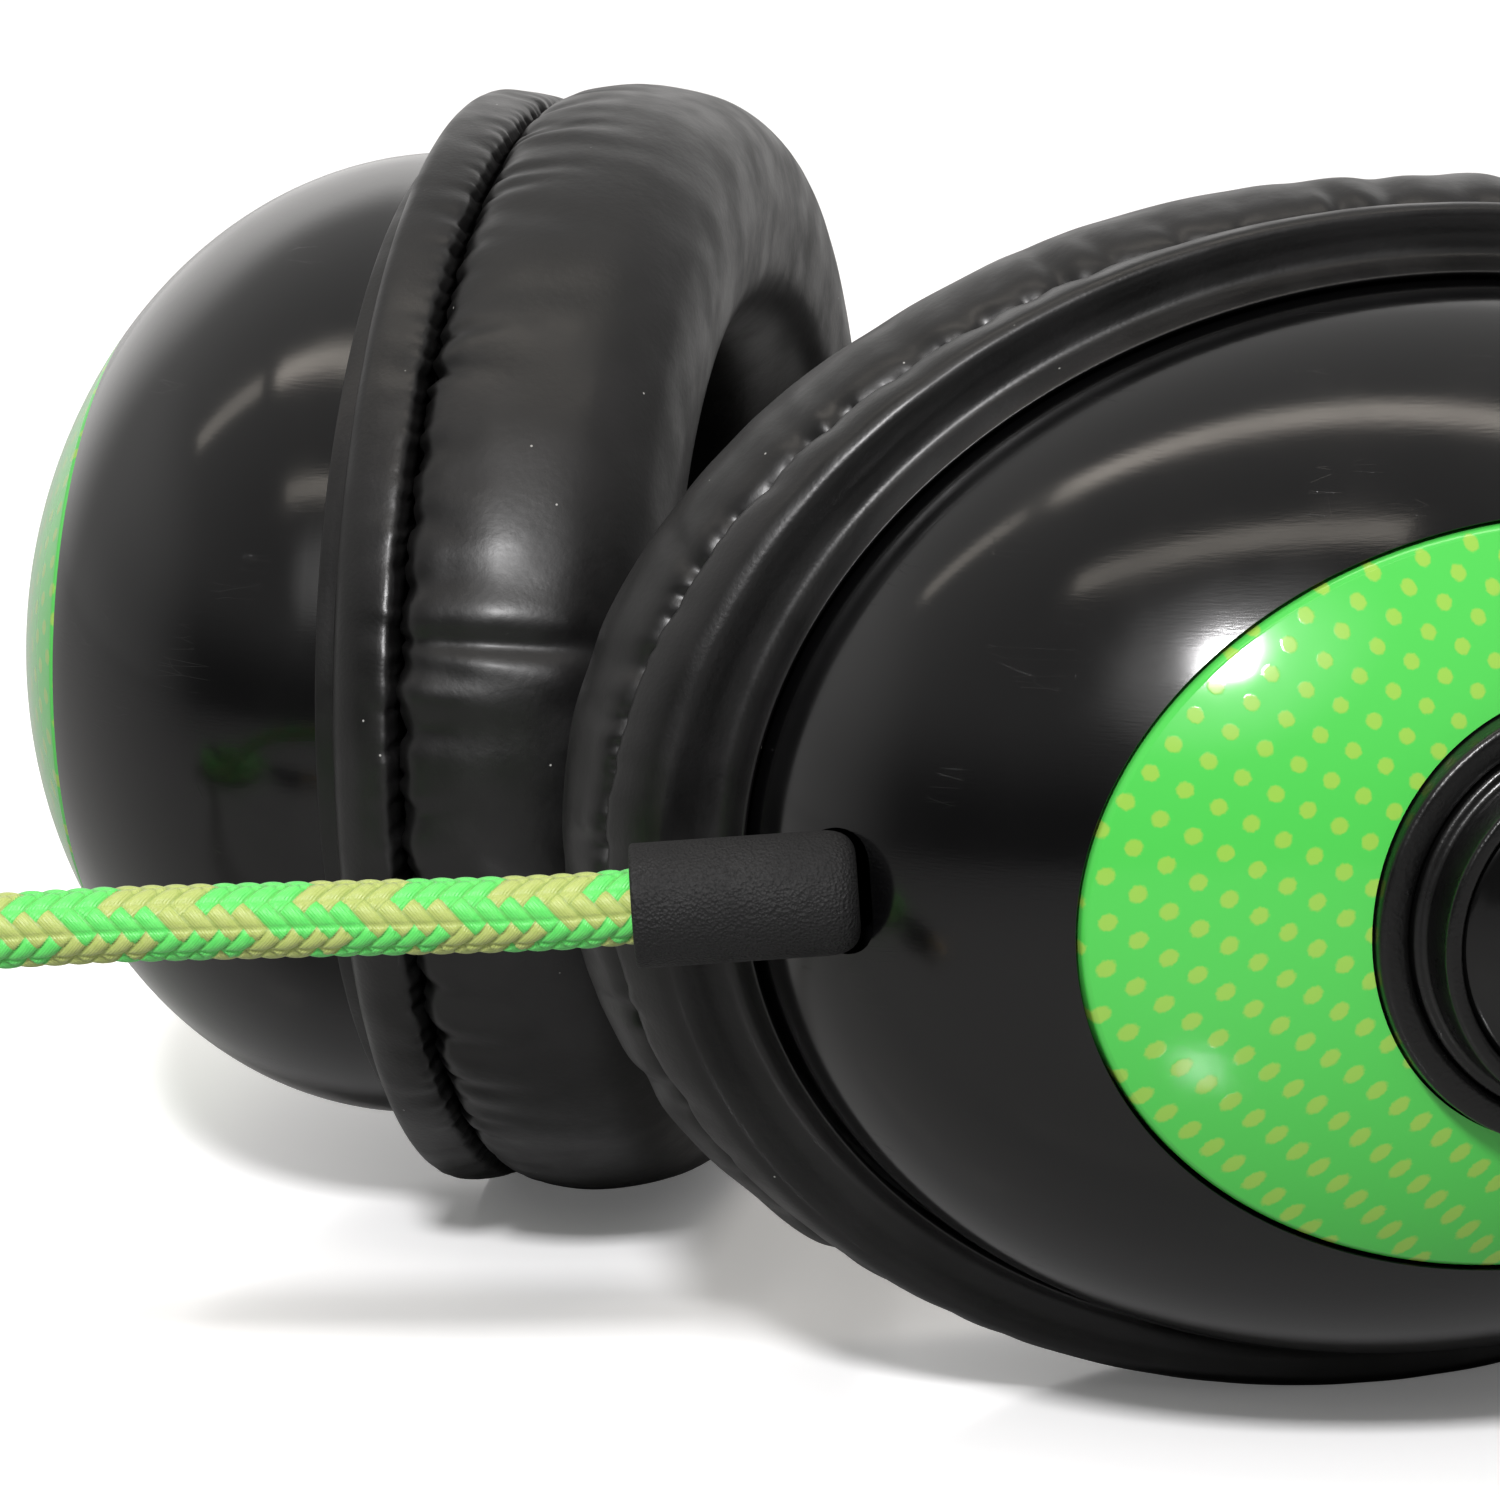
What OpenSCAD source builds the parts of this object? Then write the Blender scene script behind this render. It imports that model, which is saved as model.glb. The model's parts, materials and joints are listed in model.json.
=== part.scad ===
// Gaming headset with a boom microphone, lying on its side with the ear cushions facing each other.
// +X points out of the wearer's left, +Y towards the top of the headband, +Z out of the wearer's face.

/* [Ear cups] */
// Half length of a cup's domed shell at its rim, along the headband's plane
rim_a = 46.5; // [44:0.5:49]
// Half width of a cup's domed shell at its rim
rim_b = 35.9; // [34:0.1:38]
// Height of the domed shell above its rim
dome_h = 30.2; // [27:0.1:33]
// Wall thickness of the domed shell
wall = 2.2; // [1.8:0.1:2.6]
// Height above the rim at which the coloured panel starts
panel_x = 22.1; // [20.5:0.1:23]
// Thickness of the coloured panel
panel_t = 1.5; // [1.2:0.1:1.8]
// Depth from the shell's rim to the front face of the ear cushion
cushion_depth = 25.3; // [23:0.1:27]
// Half length of the opening for the ear
ear_a = 31; // [28:0.5:33]
// Half width of the opening for the ear
ear_b = 21; // [19:0.5:23]
// Radius of the sound driver
driver_r = 20; // [18:0.5:21]

/* [Pose at rest] */
// Toe-in of the left cup, in degrees from the head's middle plane
left_toe = 30.3; // [28:0.1:31]
// Toe-in of the right cup, in degrees
right_toe = 33.7; // [31:0.1:34]
// Lift of both cups' long axes towards the headband, in degrees
cup_lift = 2.5; // [2:0.1:3]
// Drop of the headband's plane from the hinges to its top, in degrees
band_drop = 8.1; // [7.9:0.1:8.2]

/* [Headband] */
// Distance from the middle plane to each hinge
hinge_x = 87; // [86:0.5:90]
// Height of the hinges above the floor
hinge_z = 35.35; // [35.35:0.05:35.5]
// Half width of the headband at its top
band_hw = 20; // [18:0.5:21]
// Half width of the slider housings
housing_hw = 13; // [12:0.5:14]
// Length of the slider housings
housing_len = 32; // [30:1:34]
// Travel of each slider
slide_travel = 20; // [12:1:20]
// Thickness of the pad under the headband
pad_t = 9; // [6:0.5:11]

/* [Microphone] */
// Radius of the fixed ring around the pivot
pivot_ring_r = 14.7; // [14:0.1:15]
// Radius of the hub that turns in the ring
hub_r = 12.6; // [12:0.1:12.8]
// Length of the boom's straight run
boom_run = 52; // [45:1:56]
// Radius of the boom
boom_r = 2.7; // [2.4:0.1:2.9]

/* [Cable] */
// Diameter of the braided cable
cord_d = 4.8; // [4.6:0.1:5]
// Radius of the strain relief on the cup
gland_r = 4; // [3.8:0.1:4.2]
// Length of the strain relief outside the shell
gland_len = 13.5; // [13:0.5:15]
// Radius of the coil at the middle of its turns
coil_r = 27.5; // [26:0.5:30]
// Radius of the stereo plug's pin
plug_pin_r = 1.75; // [1.75:0.01:1.75]
// Length of the cylindrical part of the plug's pin
plug_pin_len = 11; // [10:0.5:12]

/* [Hidden] */
$fn = 64;
seg = 48; // facets around an oval

// Places that put the origin under the middle of the object's box
mid_x = -20; // the middle plane in the row's frame
hinge_y = -6.4; // the hinge line in the row's frame

// Hinge position in a cup's own frame: +X out of the dome, +Y to the headband, +Z forward
hinge_at = [10, 57, -7];
hinge_pin_r = 2;
run_gap = 0.06; // radial clearance of a running fit
ear_out = 9.4; // half distance over the hinge bracket's two ears
ear_in = 5.4; // half distance between them
knuckle_hw = 5; // half thickness of the knuckle's tongue
knuckle_y = 8.4; // start of the knuckle's wide block

// Ovals of a cup, as [half length, half width, height above the rim]
crest = [52.3, 40.5, -3.7];
seam = [54.6, 39.8, -8.6];
joint_gap = 0.35; // gap between the shell's rim and the cushion ring
baffle_top = -6.2;
baffle_bottom = -8.5;
lip_a = rim_a + joint_gap;
lip_b = rim_b + joint_gap;

hole_r = pivot_ring_r + 0.15;
wire_hole_r = 6; // opening behind the right cup's panel
panel_s = sqrt(1 - pow(panel_x / dome_h, 2));
panel_a = rim_a * panel_s;
panel_b = rim_b * panel_s;
groove = 0.3; // gap around the coloured panel
seat_t = panel_t + 0.1; // depth of the panel's seat in the shell

band_mid = 85; // middle line of the headband's sides, from the middle plane
housing_y = 12.8;
arch_y = housing_y + housing_len;
corner_r = 50;
corner_turn = 55;
corner_x = band_mid - corner_r;
top_r = corner_r + corner_x / cos(corner_turn);
top_y = arch_y - (top_r - corner_r) * sin(corner_turn);

// Layers through the headband, as distances outward from its middle line
shell_layer = [2.2, 4.6];
spring_layer = [0.6, 1.4];
liner_layer = [-1.2, 0.6];
pad_layer = [-1.25 - pad_t, -1.25];

slider_hw = 7;
slider_t = 1.6;
slider_y = 9;
slider_len = slide_travel + 14; // 14 mm stay in the housing and the knuckle at full travel
notch_pitch = 4;

stem_r = 5; // radius of the hub's stem
cap_r = 10.6; // radius of the hub's cap
boom_x = 33.4; // height of the boom's straight run above the rim
boom_start = 8;
boom_bend_r = 120;
boom_turn = 20;

cord_r = cord_d / 2;
gland_root = [10.3, -43.6, 1.8];
gland_sweep = 16; // turn of the cable's exit towards the head, from the cup's long axis
gland_dip = 2.3; // dip of the cable's exit
mouth_depth = 1.5;

// The cable's run from the strain relief to the coil, in the row's frame
lead_route = [
  [-9, -118.5, 38.6], [-18, -127, 38.2], [-27, -135.5, 37.3], [-34, -142, 35.8], [-41, -148.5, 33],
  [-48, -155, 28.8], [-55, -162, 23.2], [-62, -168.5, 17.2], [-70, -176, 11.4], [-78, -184, 7],
  [-86, -191.5, 4.4], [-94, -199, 3.4]
];

function turn_z(v, a) = [v[0] * cos(a) - v[1] * sin(a), v[0] * sin(a) + v[1] * cos(a), v[2]];
function turn_x(v, a) = [v[0], v[1] * cos(a) - v[2] * sin(a), v[1] * sin(a) + v[2] * cos(a)];
function from_left_cup(v) = turn_x(turn_z(v, -left_toe), cup_lift);
left_hinge = [mid_x + hinge_x, hinge_y, hinge_z];
gland_dir = from_left_cup([
  -sin(gland_sweep) * cos(gland_dip), -cos(gland_sweep) * cos(gland_dip), -sin(gland_dip)
]);
gland_mouth = left_hinge + from_left_cup(gland_root - hinge_at) + (gland_len - mouth_depth) * gland_dir;

tie_t = 1;
coil_at = [-72, -223, tie_t];
coil_layers = 2;
coil_rows = 3;
tail_route = [
  [-41.6, -234, 8.2], [-38.5, -225.5, 8.2], [-34.6, -217.2, 6.6], [-28.8, -210.2, 5]
];
plug_at = [-28.8, -210.2, 5];
plug_turn = 46; // direction of the plug, from +X
plug_r = 4.6;

// ---- Places ----

module in_left_cup() {
  translate([mid_x + hinge_x, hinge_y, hinge_z]) rotate([cup_lift, 0, 0])
    rotate([0, 0, -left_toe]) translate(-hinge_at) children();
}

module in_right_cup() {
  translate([mid_x - hinge_x, hinge_y, hinge_z]) rotate([cup_lift, 0, 0]) mirror([1, 0, 0])
    rotate([0, 0, -right_toe]) translate(-hinge_at) children();
}

module in_band() {
  translate([mid_x, hinge_y, hinge_z]) rotate([-band_drop, 0, 0]) children();
}

module in_right_band() {
  in_band() mirror([1, 0, 0]) children();
}

// Turns a part drawn along +Z so that it points out of the dome, along +X
module out_of_dome() {
  rotate([0, 90, 0]) children();
}

module along_gland() {
  translate(gland_root) rotate([0, 0, -90 - gland_sweep]) rotate([0, 90 + gland_dip, 0]) children();
}

module at_plug() {
  translate(plug_at) rotate([0, 0, plug_turn]) rotate([0, 90, 0]) children();
}

// ---- Ovals and swept solids ----

// Height of the ellipsoid that lies a distance t inside the dome
function dome_x(y, z, t) =
  (dome_h - t) * sqrt(max(0, 1 - pow(y / (rim_a - t), 2) - pow(z / (rim_b - t), 2)));

function flat_ring(a, b, x) =
  [for (i = [0:seg - 1]) [x, a * cos(360 * i / seg), b * sin(360 * i / seg)]];

function dome_ring(a, b, t) = [for (p = flat_ring(a, b, 0)) [dome_x(p[1], p[2], t), p[1], p[2]]];

// The middle oval of the panel's back and of its seat
function seat_ring(t) = dome_ring(panel_a * 0.75, panel_b * 0.8, t);

function ring_faces(n, m, closed) = [
  for (j = [0:(closed ? m : m - 1) - 1], i = [0:n - 1], half = [0, 1])
    let (k = (i + 1) % n, a = j * n + i, b = j * n + k, c = (j + 1) % m * n + i, d = (j + 1) % m * n + k)
    half == 0 ? [a, c, b] : [b, c, d]
];

// Rings joined into one hoop: they run up its outer side, then back down its inner side
module hoop(rings) {
  polyhedron([for (r = rings) each r], ring_faces(seg, len(rings), true), 6);
}

// Rings joined into a solid that is closed by a flat cap at each end
module capped(rings) {
  n = len(rings[0]);
  m = len(rings);
  polyhedron(
    [for (r = rings) each r],
    concat(ring_faces(n, m, false), [[for (i = [0:n - 1]) i]], [[for (i = [n - 1:-1:0]) (m - 1) * n + i]]), 6
  );
}

function unit(v) = v / norm(v);
function heading(p, i) = unit(p[min(i + 1, len(p) - 1)] - p[max(i - 1, 0)]);
function side(v) = unit(cross(v, [0, 0, 1]));

// A round tube swept along a list of points
module tube(p, r, n = 10) {
  capped([
    for (i = [0:len(p) - 1])
      let (t = heading(p, i), s = side(t), w = cross(s, t))
      [for (k = [0:n - 1]) p[i] + r * (s * cos(360 * k / n) + w * sin(360 * k / n))]
  ]);
}

// ---- Parts of an ear cup, in the cup's own frame ----

module dome_body(opening_r) {
  inner = wall + seat_t;
  difference() {
    hoop([
      flat_ring(rim_a, rim_b, baffle_top + 0.05),
      for (turn = [0:9:45]) flat_ring(rim_a * cos(turn), rim_b * cos(turn), dome_h * sin(turn)),
      flat_ring(panel_a + groove, panel_b + groove, panel_x - 0.15),
      dome_ring(panel_a + groove, panel_b + groove, seat_t),
      seat_ring(seat_t),
      dome_ring(opening_r, opening_r, seat_t),
      dome_ring(opening_r, opening_r, inner),
      seat_ring(inner),
      for (turn = [45:-9:0])
        flat_ring((rim_a - wall) * cos(turn), (rim_b - wall) * cos(turn), (dome_h - inner) * sin(turn)),
      flat_ring(rim_a - wall, rim_b - wall, baffle_top + 0.05)
    ]);
    bracket_foot(0.05);
    bracket_screw_holes();
  }
}

module shell(opening_r) {
  color("#101012") dome_body(opening_r);
}

// The coloured cover: a slice of the dome's own surface, with a round hole where a pivot passes
module ring_panel() {
  color("#58de5c") hoop([
    dome_ring(panel_a, panel_b, panel_t),
    flat_ring(panel_a, panel_b, panel_x),
    dome_ring(panel_a * 0.82, panel_b * 0.85, 0),
    dome_ring(panel_a * 0.62, panel_b * 0.7, 0),
    dome_ring(hole_r, hole_r, 0),
    dome_ring(hole_r, hole_r, panel_t),
    seat_ring(panel_t)
  ]);
}

module full_panel() {
  color("#58de5c") capped([
    dome_ring(1.5, 1.5, panel_t),
    dome_ring(wire_hole_r, wire_hole_r, panel_t),
    seat_ring(panel_t),
    dome_ring(panel_a, panel_b, panel_t),
    flat_ring(panel_a, panel_b, panel_x),
    for (s = [0.85, 0.7, 0.5, 0.3, 0.08]) dome_ring(panel_a * s, panel_b * s, 0)
  ]);
}

// The padded ring that closes the cushion's cover against the dome
module cushion_ring() {
  color("#1a1a1b") hoop([
    flat_ring(seam[0], seam[1], baffle_bottom),
    flat_ring(53.9, 40.4, -6),
    flat_ring(crest[0], crest[1], crest[2]),
    flat_ring(50.9, 39.6, -3),
    flat_ring(48.8, 38, -2.7),
    flat_ring(lip_a + 0.6, lip_b + 0.6, -1.1),
    flat_ring(lip_a, lip_b, -1.1),
    flat_ring(lip_a, lip_b, baffle_top),
    flat_ring(50, 38.4, baffle_top),
    flat_ring(50, 38.4, baffle_bottom)
  ]);
}

module baffle() {
  color("#202022") difference() {
    capped([flat_ring(49.9, 38.3, baffle_bottom), flat_ring(49.9, 38.3, baffle_top)]);
    out_of_dome() translate([0, 0, -20]) cylinder(r = driver_r - 1.6, h = 40);
    shell_screw_places() translate([0, 0, -20]) cylinder(r = 1.3, h = 40, $fn = 24);
  }
}

module shell_screw_places() {
  for (sy = [-1, 1], sz = [-1, 1]) out_of_dome() translate([-sz * 23, sy * 28, 0]) children();
}

module shell_screws() {
  color("silver") shell_screw_places() {
    translate([0, 0, baffle_bottom + 0.05]) cylinder(r = 1.25, h = 8.7, $fn = 24);
    translate([0, 0, baffle_top + 0.02]) cylinder(r = 2.4, h = 1.4, $fn = 24);
  }
}

module driver_frame() {
  color("#8c8c8c") out_of_dome() rotate_extrude() polygon([
    [12.2, 4], [12.2, 2], [driver_r - 2.4, -4.4], [driver_r - 2.4, baffle_top],
    [driver_r, baffle_top], [driver_r, baffle_top + 3], [driver_r - 1.6, baffle_top + 3], [14, 4]
  ]);
}

module driver_magnet() {
  color("#b8b8bc") out_of_dome() translate([0, 0, 1]) cylinder(r = 12.1, h = 6);
}

module diaphragm() {
  color("#d8dcc8") out_of_dome() rotate_extrude() polygon([
    [0, -4.2], [6, -4.9], [8, -6], [driver_r - 2.5, -5.9],
    [driver_r - 2.5, -5.6], [8, -5.6], [6, -4.5], [0, -3.8]
  ]);
}

module ear_cloth() {
  color("#2a2a2c") capped([
    flat_ring(ear_a + 1.5, ear_b + 1.5, baffle_bottom - 0.75),
    flat_ring(ear_a + 1.5, ear_b + 1.5, baffle_bottom - 0.05)
  ]);
}

module cushion() {
  front = -cushion_depth;
  color("#161617") hoop([
    flat_ring(45.5, 32.5, front),
    flat_ring(50.4, 36.8, front + 1.2),
    flat_ring(53.8, 39.6, front + 4.6),
    flat_ring(55.3, 40.8, front + 9.6),
    flat_ring(55.2, 40.6, front + 13.6),
    flat_ring(seam[0], seam[1], seam[2]),
    flat_ring(ear_a + 2, ear_b + 2, seam[2]),
    flat_ring(ear_a, ear_b, seam[2] - 3),
    flat_ring(ear_a, ear_b, front + 5),
    flat_ring(ear_a + 3, ear_b + 3, front + 1.2),
    flat_ring(ear_a + 7, ear_b + 6, front)
  ]);
}

// ---- Hinge between a cup and its arm ----

module bracket_foot(grow = 0) {
  translate([2 - grow, 36 - grow, hinge_at[2] - ear_out - grow])
    cube([15.6 + 2 * grow, 12 + 2 * grow, 2 * (ear_out + grow)]);
}

module hinge_ear() {
  linear_extrude(ear_out - ear_in) polygon([
    [4, 46], [4, 57], [5.8, 61.2], [10, 63], [14.2, 61.2], [16, 57], [16, 46]
  ]);
}

module bracket_screw_holes() {
  for (dz = [-5, 5])
    translate([-5, 41, hinge_at[2] + dz]) rotate([0, 90, 0]) cylinder(r = 1.1, h = 30, $fn = 24);
}

module hinge_bracket() {
  color("#18181a") difference() {
    union() {
      bracket_foot();
      translate([0, 0, hinge_at[2] + ear_in]) hinge_ear();
      translate([0, 0, hinge_at[2] - ear_out]) hinge_ear();
    }
    translate([hinge_at[0], hinge_at[1], hinge_at[2] - 20]) cylinder(r = hinge_pin_r, h = 40);
    bracket_screw_holes();
  }
}

module bracket_screws() {
  color("silver") for (dz = [-5, 5]) translate([0, 41, hinge_at[2] + dz]) rotate([0, 90, 0]) {
    translate([0, 0, 4]) cylinder(r = 1.1, h = 13.6, $fn = 24);
    translate([0, 0, 17.6]) cylinder(r = 2.1, h = 1.2, $fn = 24);
  }
}

module hinge_pin() {
  color("#c8c8cc") translate([hinge_at[0], hinge_at[1], hinge_at[2] - ear_out - 0.4])
    cylinder(r = hinge_pin_r, h = 2 * ear_out + 0.8);
}

// ---- Arm, in the headband's frame: +Y to the top ----

module knuckle() {
  color("#18181a") difference() {
    union() {
      translate([hinge_x, 0, 0]) rotate([band_drop + cup_lift, 0, 0])
        translate([0, 0, -knuckle_hw]) cylinder(r = 5.2, h = 2 * knuckle_hw);
      translate([hinge_x - 5.2, 0, -3.6]) cube([8.2, knuckle_y + 1, 7.2]);
      translate([band_mid - 4, knuckle_y, -9]) cube([7.6, 4, 18]);
    }
    translate([hinge_x, 0, 0]) rotate([band_drop + cup_lift, 0, 0])
      translate([0, 0, -20]) cylinder(r = hinge_pin_r + run_gap, h = 40);
    slider_blank();
  }
}

module slider_blank() {
  translate([band_mid - slider_t / 2, slider_y, -slider_hw]) cube([slider_t, slider_len, 2 * slider_hw]);
}

module slider() {
  color("#c4c6c8") difference() {
    slider_blank();
    for (step = [0:notch_pitch:slide_travel + notch_pitch])
      translate([band_mid - slider_t, 16 + step, 3.5]) cube([2 * slider_t, 1.4, 1.6]);
  }
}

// ---- Headband ----

// A band of the headband's shape between two distances from its middle line
module arch(layer, hw, turn = corner_turn) {
  for (s = [0, 1]) mirror([s, 0, 0]) translate([corner_x, arch_y, 0])
    rotate([0, 0, corner_turn - turn]) rotate_extrude(angle = turn, $fn = 96)
      translate([corner_r + layer[0], -hw]) square([layer[1] - layer[0], 2 * hw]);
  translate([0, top_y, 0]) rotate([0, 0, corner_turn])
    rotate_extrude(angle = 180 - 2 * corner_turn, $fn = 160)
      translate([top_r + layer[0], -hw]) square([layer[1] - layer[0], 2 * hw]);
}

// Keeps what lies inside the headband's outline seen from above, narrow at the sides
module band_taper(top_hw, side_hw) {
  intersection() {
    children();
    rotate([-90, 0, 0]) linear_extrude(200) polygon([
      [-100, -side_hw], [-30, -top_hw], [30, -top_hw], [100, -side_hw],
      [100, side_hw], [30, top_hw], [-30, top_hw], [-100, side_hw]
    ]);
  }
}

module outer_band() {
  color("#121214") band_taper(band_hw, housing_hw - 2) arch(shell_layer, band_hw);
}

module spring_band() {
  color("#b0b2b6") band_taper(8, 5) arch(spring_layer, 8);
}

module liner() {
  color("#18181a") band_taper(band_hw - 1.5, housing_hw - 3) arch(liner_layer, band_hw);
}

module pad() {
  color("#161617") band_taper(band_hw - 1, housing_hw - 2)
    arch(pad_layer, band_hw - 1, 25);
}

// Points along the headband's middle line, at a distance outward from it
function arch_path(off, z) = [
  for (a = [0:5:corner_turn - 5])
    [corner_x + (corner_r + off) * cos(a), arch_y + (corner_r + off) * sin(a), z],
  for (a = [corner_turn:5:180 - corner_turn])
    [(top_r + off) * cos(a), top_y + (top_r + off) * sin(a), z],
  for (a = [185 - corner_turn:5:180])
    [-corner_x + (corner_r + off) * cos(a), arch_y + (corner_r + off) * sin(a), z]
];

module wire() {
  color("#303030") tube(arch_path(1.4, 9.4), 0.65, 8);
}

module housing_outline() {
  polygon([
    [-2.3, -housing_hw], [3, -housing_hw], [4.6, -housing_hw + 1.6],
    [4.6, housing_hw - 1.6], [3, housing_hw], [-2.3, housing_hw]
  ]);
}

module housing() {
  color("#141416") difference() {
    translate([band_mid, housing_y, 0]) rotate([-90, 0, 0]) linear_extrude(housing_len) housing_outline();
    translate([band_mid - slider_t / 2 - 0.1, housing_y - 1, -slider_hw - 0.1])
      cube([slider_t + 0.2, housing_len, 2 * slider_hw + 0.2]);
    housing_screw_places() cylinder(r = 0.9, h = 20, $fn = 24);
  }
}

module housing_cover() {
  color("#141416") difference() {
    translate([band_mid - 4.6, housing_y, -housing_hw + 1]) cube([2.2, housing_len, 2 * housing_hw - 2]);
    housing_screw_places() cylinder(r = 0.95, h = 20, $fn = 24);
  }
}

module housing_screw_places() {
  for (dy = [5, housing_len - 5], dz = [-9.8, 9.8])
    translate([band_mid - 6, housing_y + dy, dz]) rotate([0, 90, 0]) children();
}

module band_screws() {
  color("silver") for (s = [0, 1]) mirror([s, 0, 0]) housing_screw_places() {
    translate([0, 0, 0.7]) cylinder(r = 1.8, h = 0.7, $fn = 24);
    translate([0, 0, 1.4]) cylinder(r = 0.9, h = 5.6, $fn = 24);
  }
}

// ---- Microphone, in the left cup's frame ----

module pivot_ring() {
  color("#161618") out_of_dome() rotate_extrude() polygon([
    [stem_r + run_gap, 19.5], [17, 19.5], [17, 21.2], [pivot_ring_r, 21.2],
    [pivot_ring_r, 29.2], [pivot_ring_r - 0.6, 29.8], [hub_r + 0.6, 29.8],
    [hub_r + run_gap, 29.3], [hub_r + run_gap, 23], [stem_r + run_gap, 23]
  ]);
}

module boom_socket() {
  translate([boom_x, boom_start, 0]) rotate([-90, 0, 0]) cylinder(r = boom_r, h = 20);
}

module hub() {
  color("#141416") difference() {
    out_of_dome() {
      translate([0, 0, 23.35]) cylinder(r = hub_r, h = 6.65);
      translate([0, 0, 19.1]) cylinder(r = stem_r, h = 5);
      translate([0, 0, 30]) cylinder(r = 11.8, h = 3.6);
    }
    out_of_dome() {
      translate([0, 0, 32]) cylinder(r = cap_r, h = 4);
      translate([0, 0, 15]) cylinder(r = 1.4, h = 8, $fn = 32);
    }
    boom_socket();
  }
}

module hub_cap() {
  color("#0c0c0e") difference() {
    out_of_dome() intersection() {
      translate([0, 0, 32]) cylinder(r = cap_r, h = 3.8);
      translate([0, 0, 11.4]) sphere(r = 24, $fn = 96);
    }
    boom_socket();
  }
}

module retainer() {
  color("#c8c8cc") out_of_dome() difference() {
    translate([0, 0, 18.1]) cylinder(r = 8, h = 1);
    translate([0, 0, 17]) cylinder(r = 1.4, h = 4, $fn = 32);
  }
}

module retainer_screw() {
  color("silver") out_of_dome() {
    translate([0, 0, 16.7]) cylinder(r = 3, h = 1.4, $fn = 32);
    translate([0, 0, 18.1]) cylinder(r = 1.4, h = 4.5, $fn = 32);
  }
}

module at_boom_end() {
  translate([boom_x - boom_bend_r, boom_start + boom_run, 0]) rotate([0, 0, boom_turn])
    translate([boom_bend_r, 0, 0]) rotate([-90, 0, 0]) children();
}

module boom() {
  color("#141416") {
    translate([boom_x, boom_start, 0]) rotate([-90, 0, 0]) cylinder(r = boom_r, h = boom_run);
    translate([boom_x - boom_bend_r, boom_start + boom_run, 0]) rotate_extrude(angle = boom_turn, $fn = 200)
      translate([boom_bend_r, 0]) circle(r = boom_r, $fn = 32);
    at_boom_end() cylinder(r = 4.2, h = 8);
  }
}

module capsule() {
  color("#a8a8ac") at_boom_end() translate([0, 0, 8.05]) cylinder(r = 3, h = 5);
}

module windscreen() {
  color("#1c1c1d") at_boom_end() difference() {
    union() {
      translate([0, 0, 5]) cylinder(r = 7, h = 10);
      translate([0, 0, 15]) sphere(r = 7);
      translate([0, 0, 5]) sphere(r = 7);
    }
    translate([0, 0, -8]) cylinder(r = 4.3, h = 16.05);
    translate([0, 0, 8]) cylinder(r = 3.1, h = 5.1);
  }
}

// ---- Cable ----

module wiring_board() {
  color("#2c6e3a") translate([baffle_top + 0.02, -33, -8]) cube([1.4, 12, 16]);
}

module strain_relief() {
  color("#1a1a1c") along_gland() difference() {
    union() {
      translate([0, 0, -5]) cylinder(r = gland_r, h = 5 + gland_len);
      translate([0, 0, -6.6]) cylinder(r = gland_r + 1.4, h = 1.8);
    }
    translate([0, 0, gland_len - mouth_depth]) cylinder(r = gland_r - 0.8, h = 10);
  }
}

module gland_clearance() {
  along_gland() translate([0, 0, -8]) cylinder(r = gland_r + 0.05, h = 30);
  along_gland() translate([0, 0, -10]) cylinder(r = gland_r + 1.5, h = 5.3);
}

module cord_lead() {
  color("#66dd66") tube(concat([gland_mouth, gland_mouth + 8 * gland_dir], lead_route), cord_r);
}

module cord_coil() {
  color("#66dd66") translate(coil_at) rotate_extrude($fn = 96)
    translate([coil_r - coil_rows * cord_r, 0]) square([coil_rows * cord_d, coil_layers * cord_d]);
}

module cord_tail() {
  color("#66dd66") tube(tail_route, cord_r);
}

// A strap around the coil's turns
module cord_tie() {
  color("#202022") translate([coil_at[0], coil_at[1], 0]) rotate([0, 0, 200])
    translate([coil_r, 0, 0]) difference() {
      translate([-coil_rows * cord_r - tie_t, -6, 0])
        cube([coil_rows * cord_d + 2 * tie_t, 12, coil_layers * cord_d + 2 * tie_t]);
      translate([-coil_rows * cord_r - 0.05, -10, tie_t - 0.05])
        cube([coil_rows * cord_d + 0.1, 20, coil_layers * cord_d + 0.1]);
    }
}

module plug_relief() {
  color("#1a1a1c") at_plug() rotate_extrude() polygon([[0, 0], [2.9, 0], [3.7, 12], [0, 12]]);
}

module plug_body() {
  color("#141416") at_plug() translate([0, 0, 12]) rotate_extrude() polygon([
    [0, 0], [3.9, 0], [plug_r, 1.2], [plug_r, 18], [plug_r - 1, 19.5], [0, 19.5]
  ]);
}

module plug_pin() {
  color("#d8b860") at_plug() translate([0, 0, 31.5]) rotate_extrude() polygon([
    [0, 0], [plug_pin_r, 0], [plug_pin_r, plug_pin_len], [1.1, plug_pin_len + 0.8],
    [1.5, plug_pin_len + 1.8], [0.5, plug_pin_len + 3.2], [0, plug_pin_len + 3.2]
  ]);
}

// ---- Nodes ----

module left_shell() {
  in_left_cup() difference() {
    shell(hole_r);
    gland_clearance();
  }
}

module left_panel() {
  in_left_cup() ring_panel();
}

module left_cushion_ring() {
  in_left_cup() cushion_ring();
}

module left_baffle() {
  in_left_cup() baffle();
}

module left_driver_frame() {
  in_left_cup() driver_frame();
}

module left_driver_magnet() {
  in_left_cup() driver_magnet();
}

module left_diaphragm() {
  in_left_cup() diaphragm();
}

module left_ear_cloth() {
  in_left_cup() ear_cloth();
}

module left_cushion() {
  in_left_cup() cushion();
}

module left_shell_screws() {
  in_left_cup() shell_screws();
}

module left_hinge_bracket() {
  in_left_cup() hinge_bracket();
}

module left_bracket_screws() {
  in_left_cup() bracket_screws();
}

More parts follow.
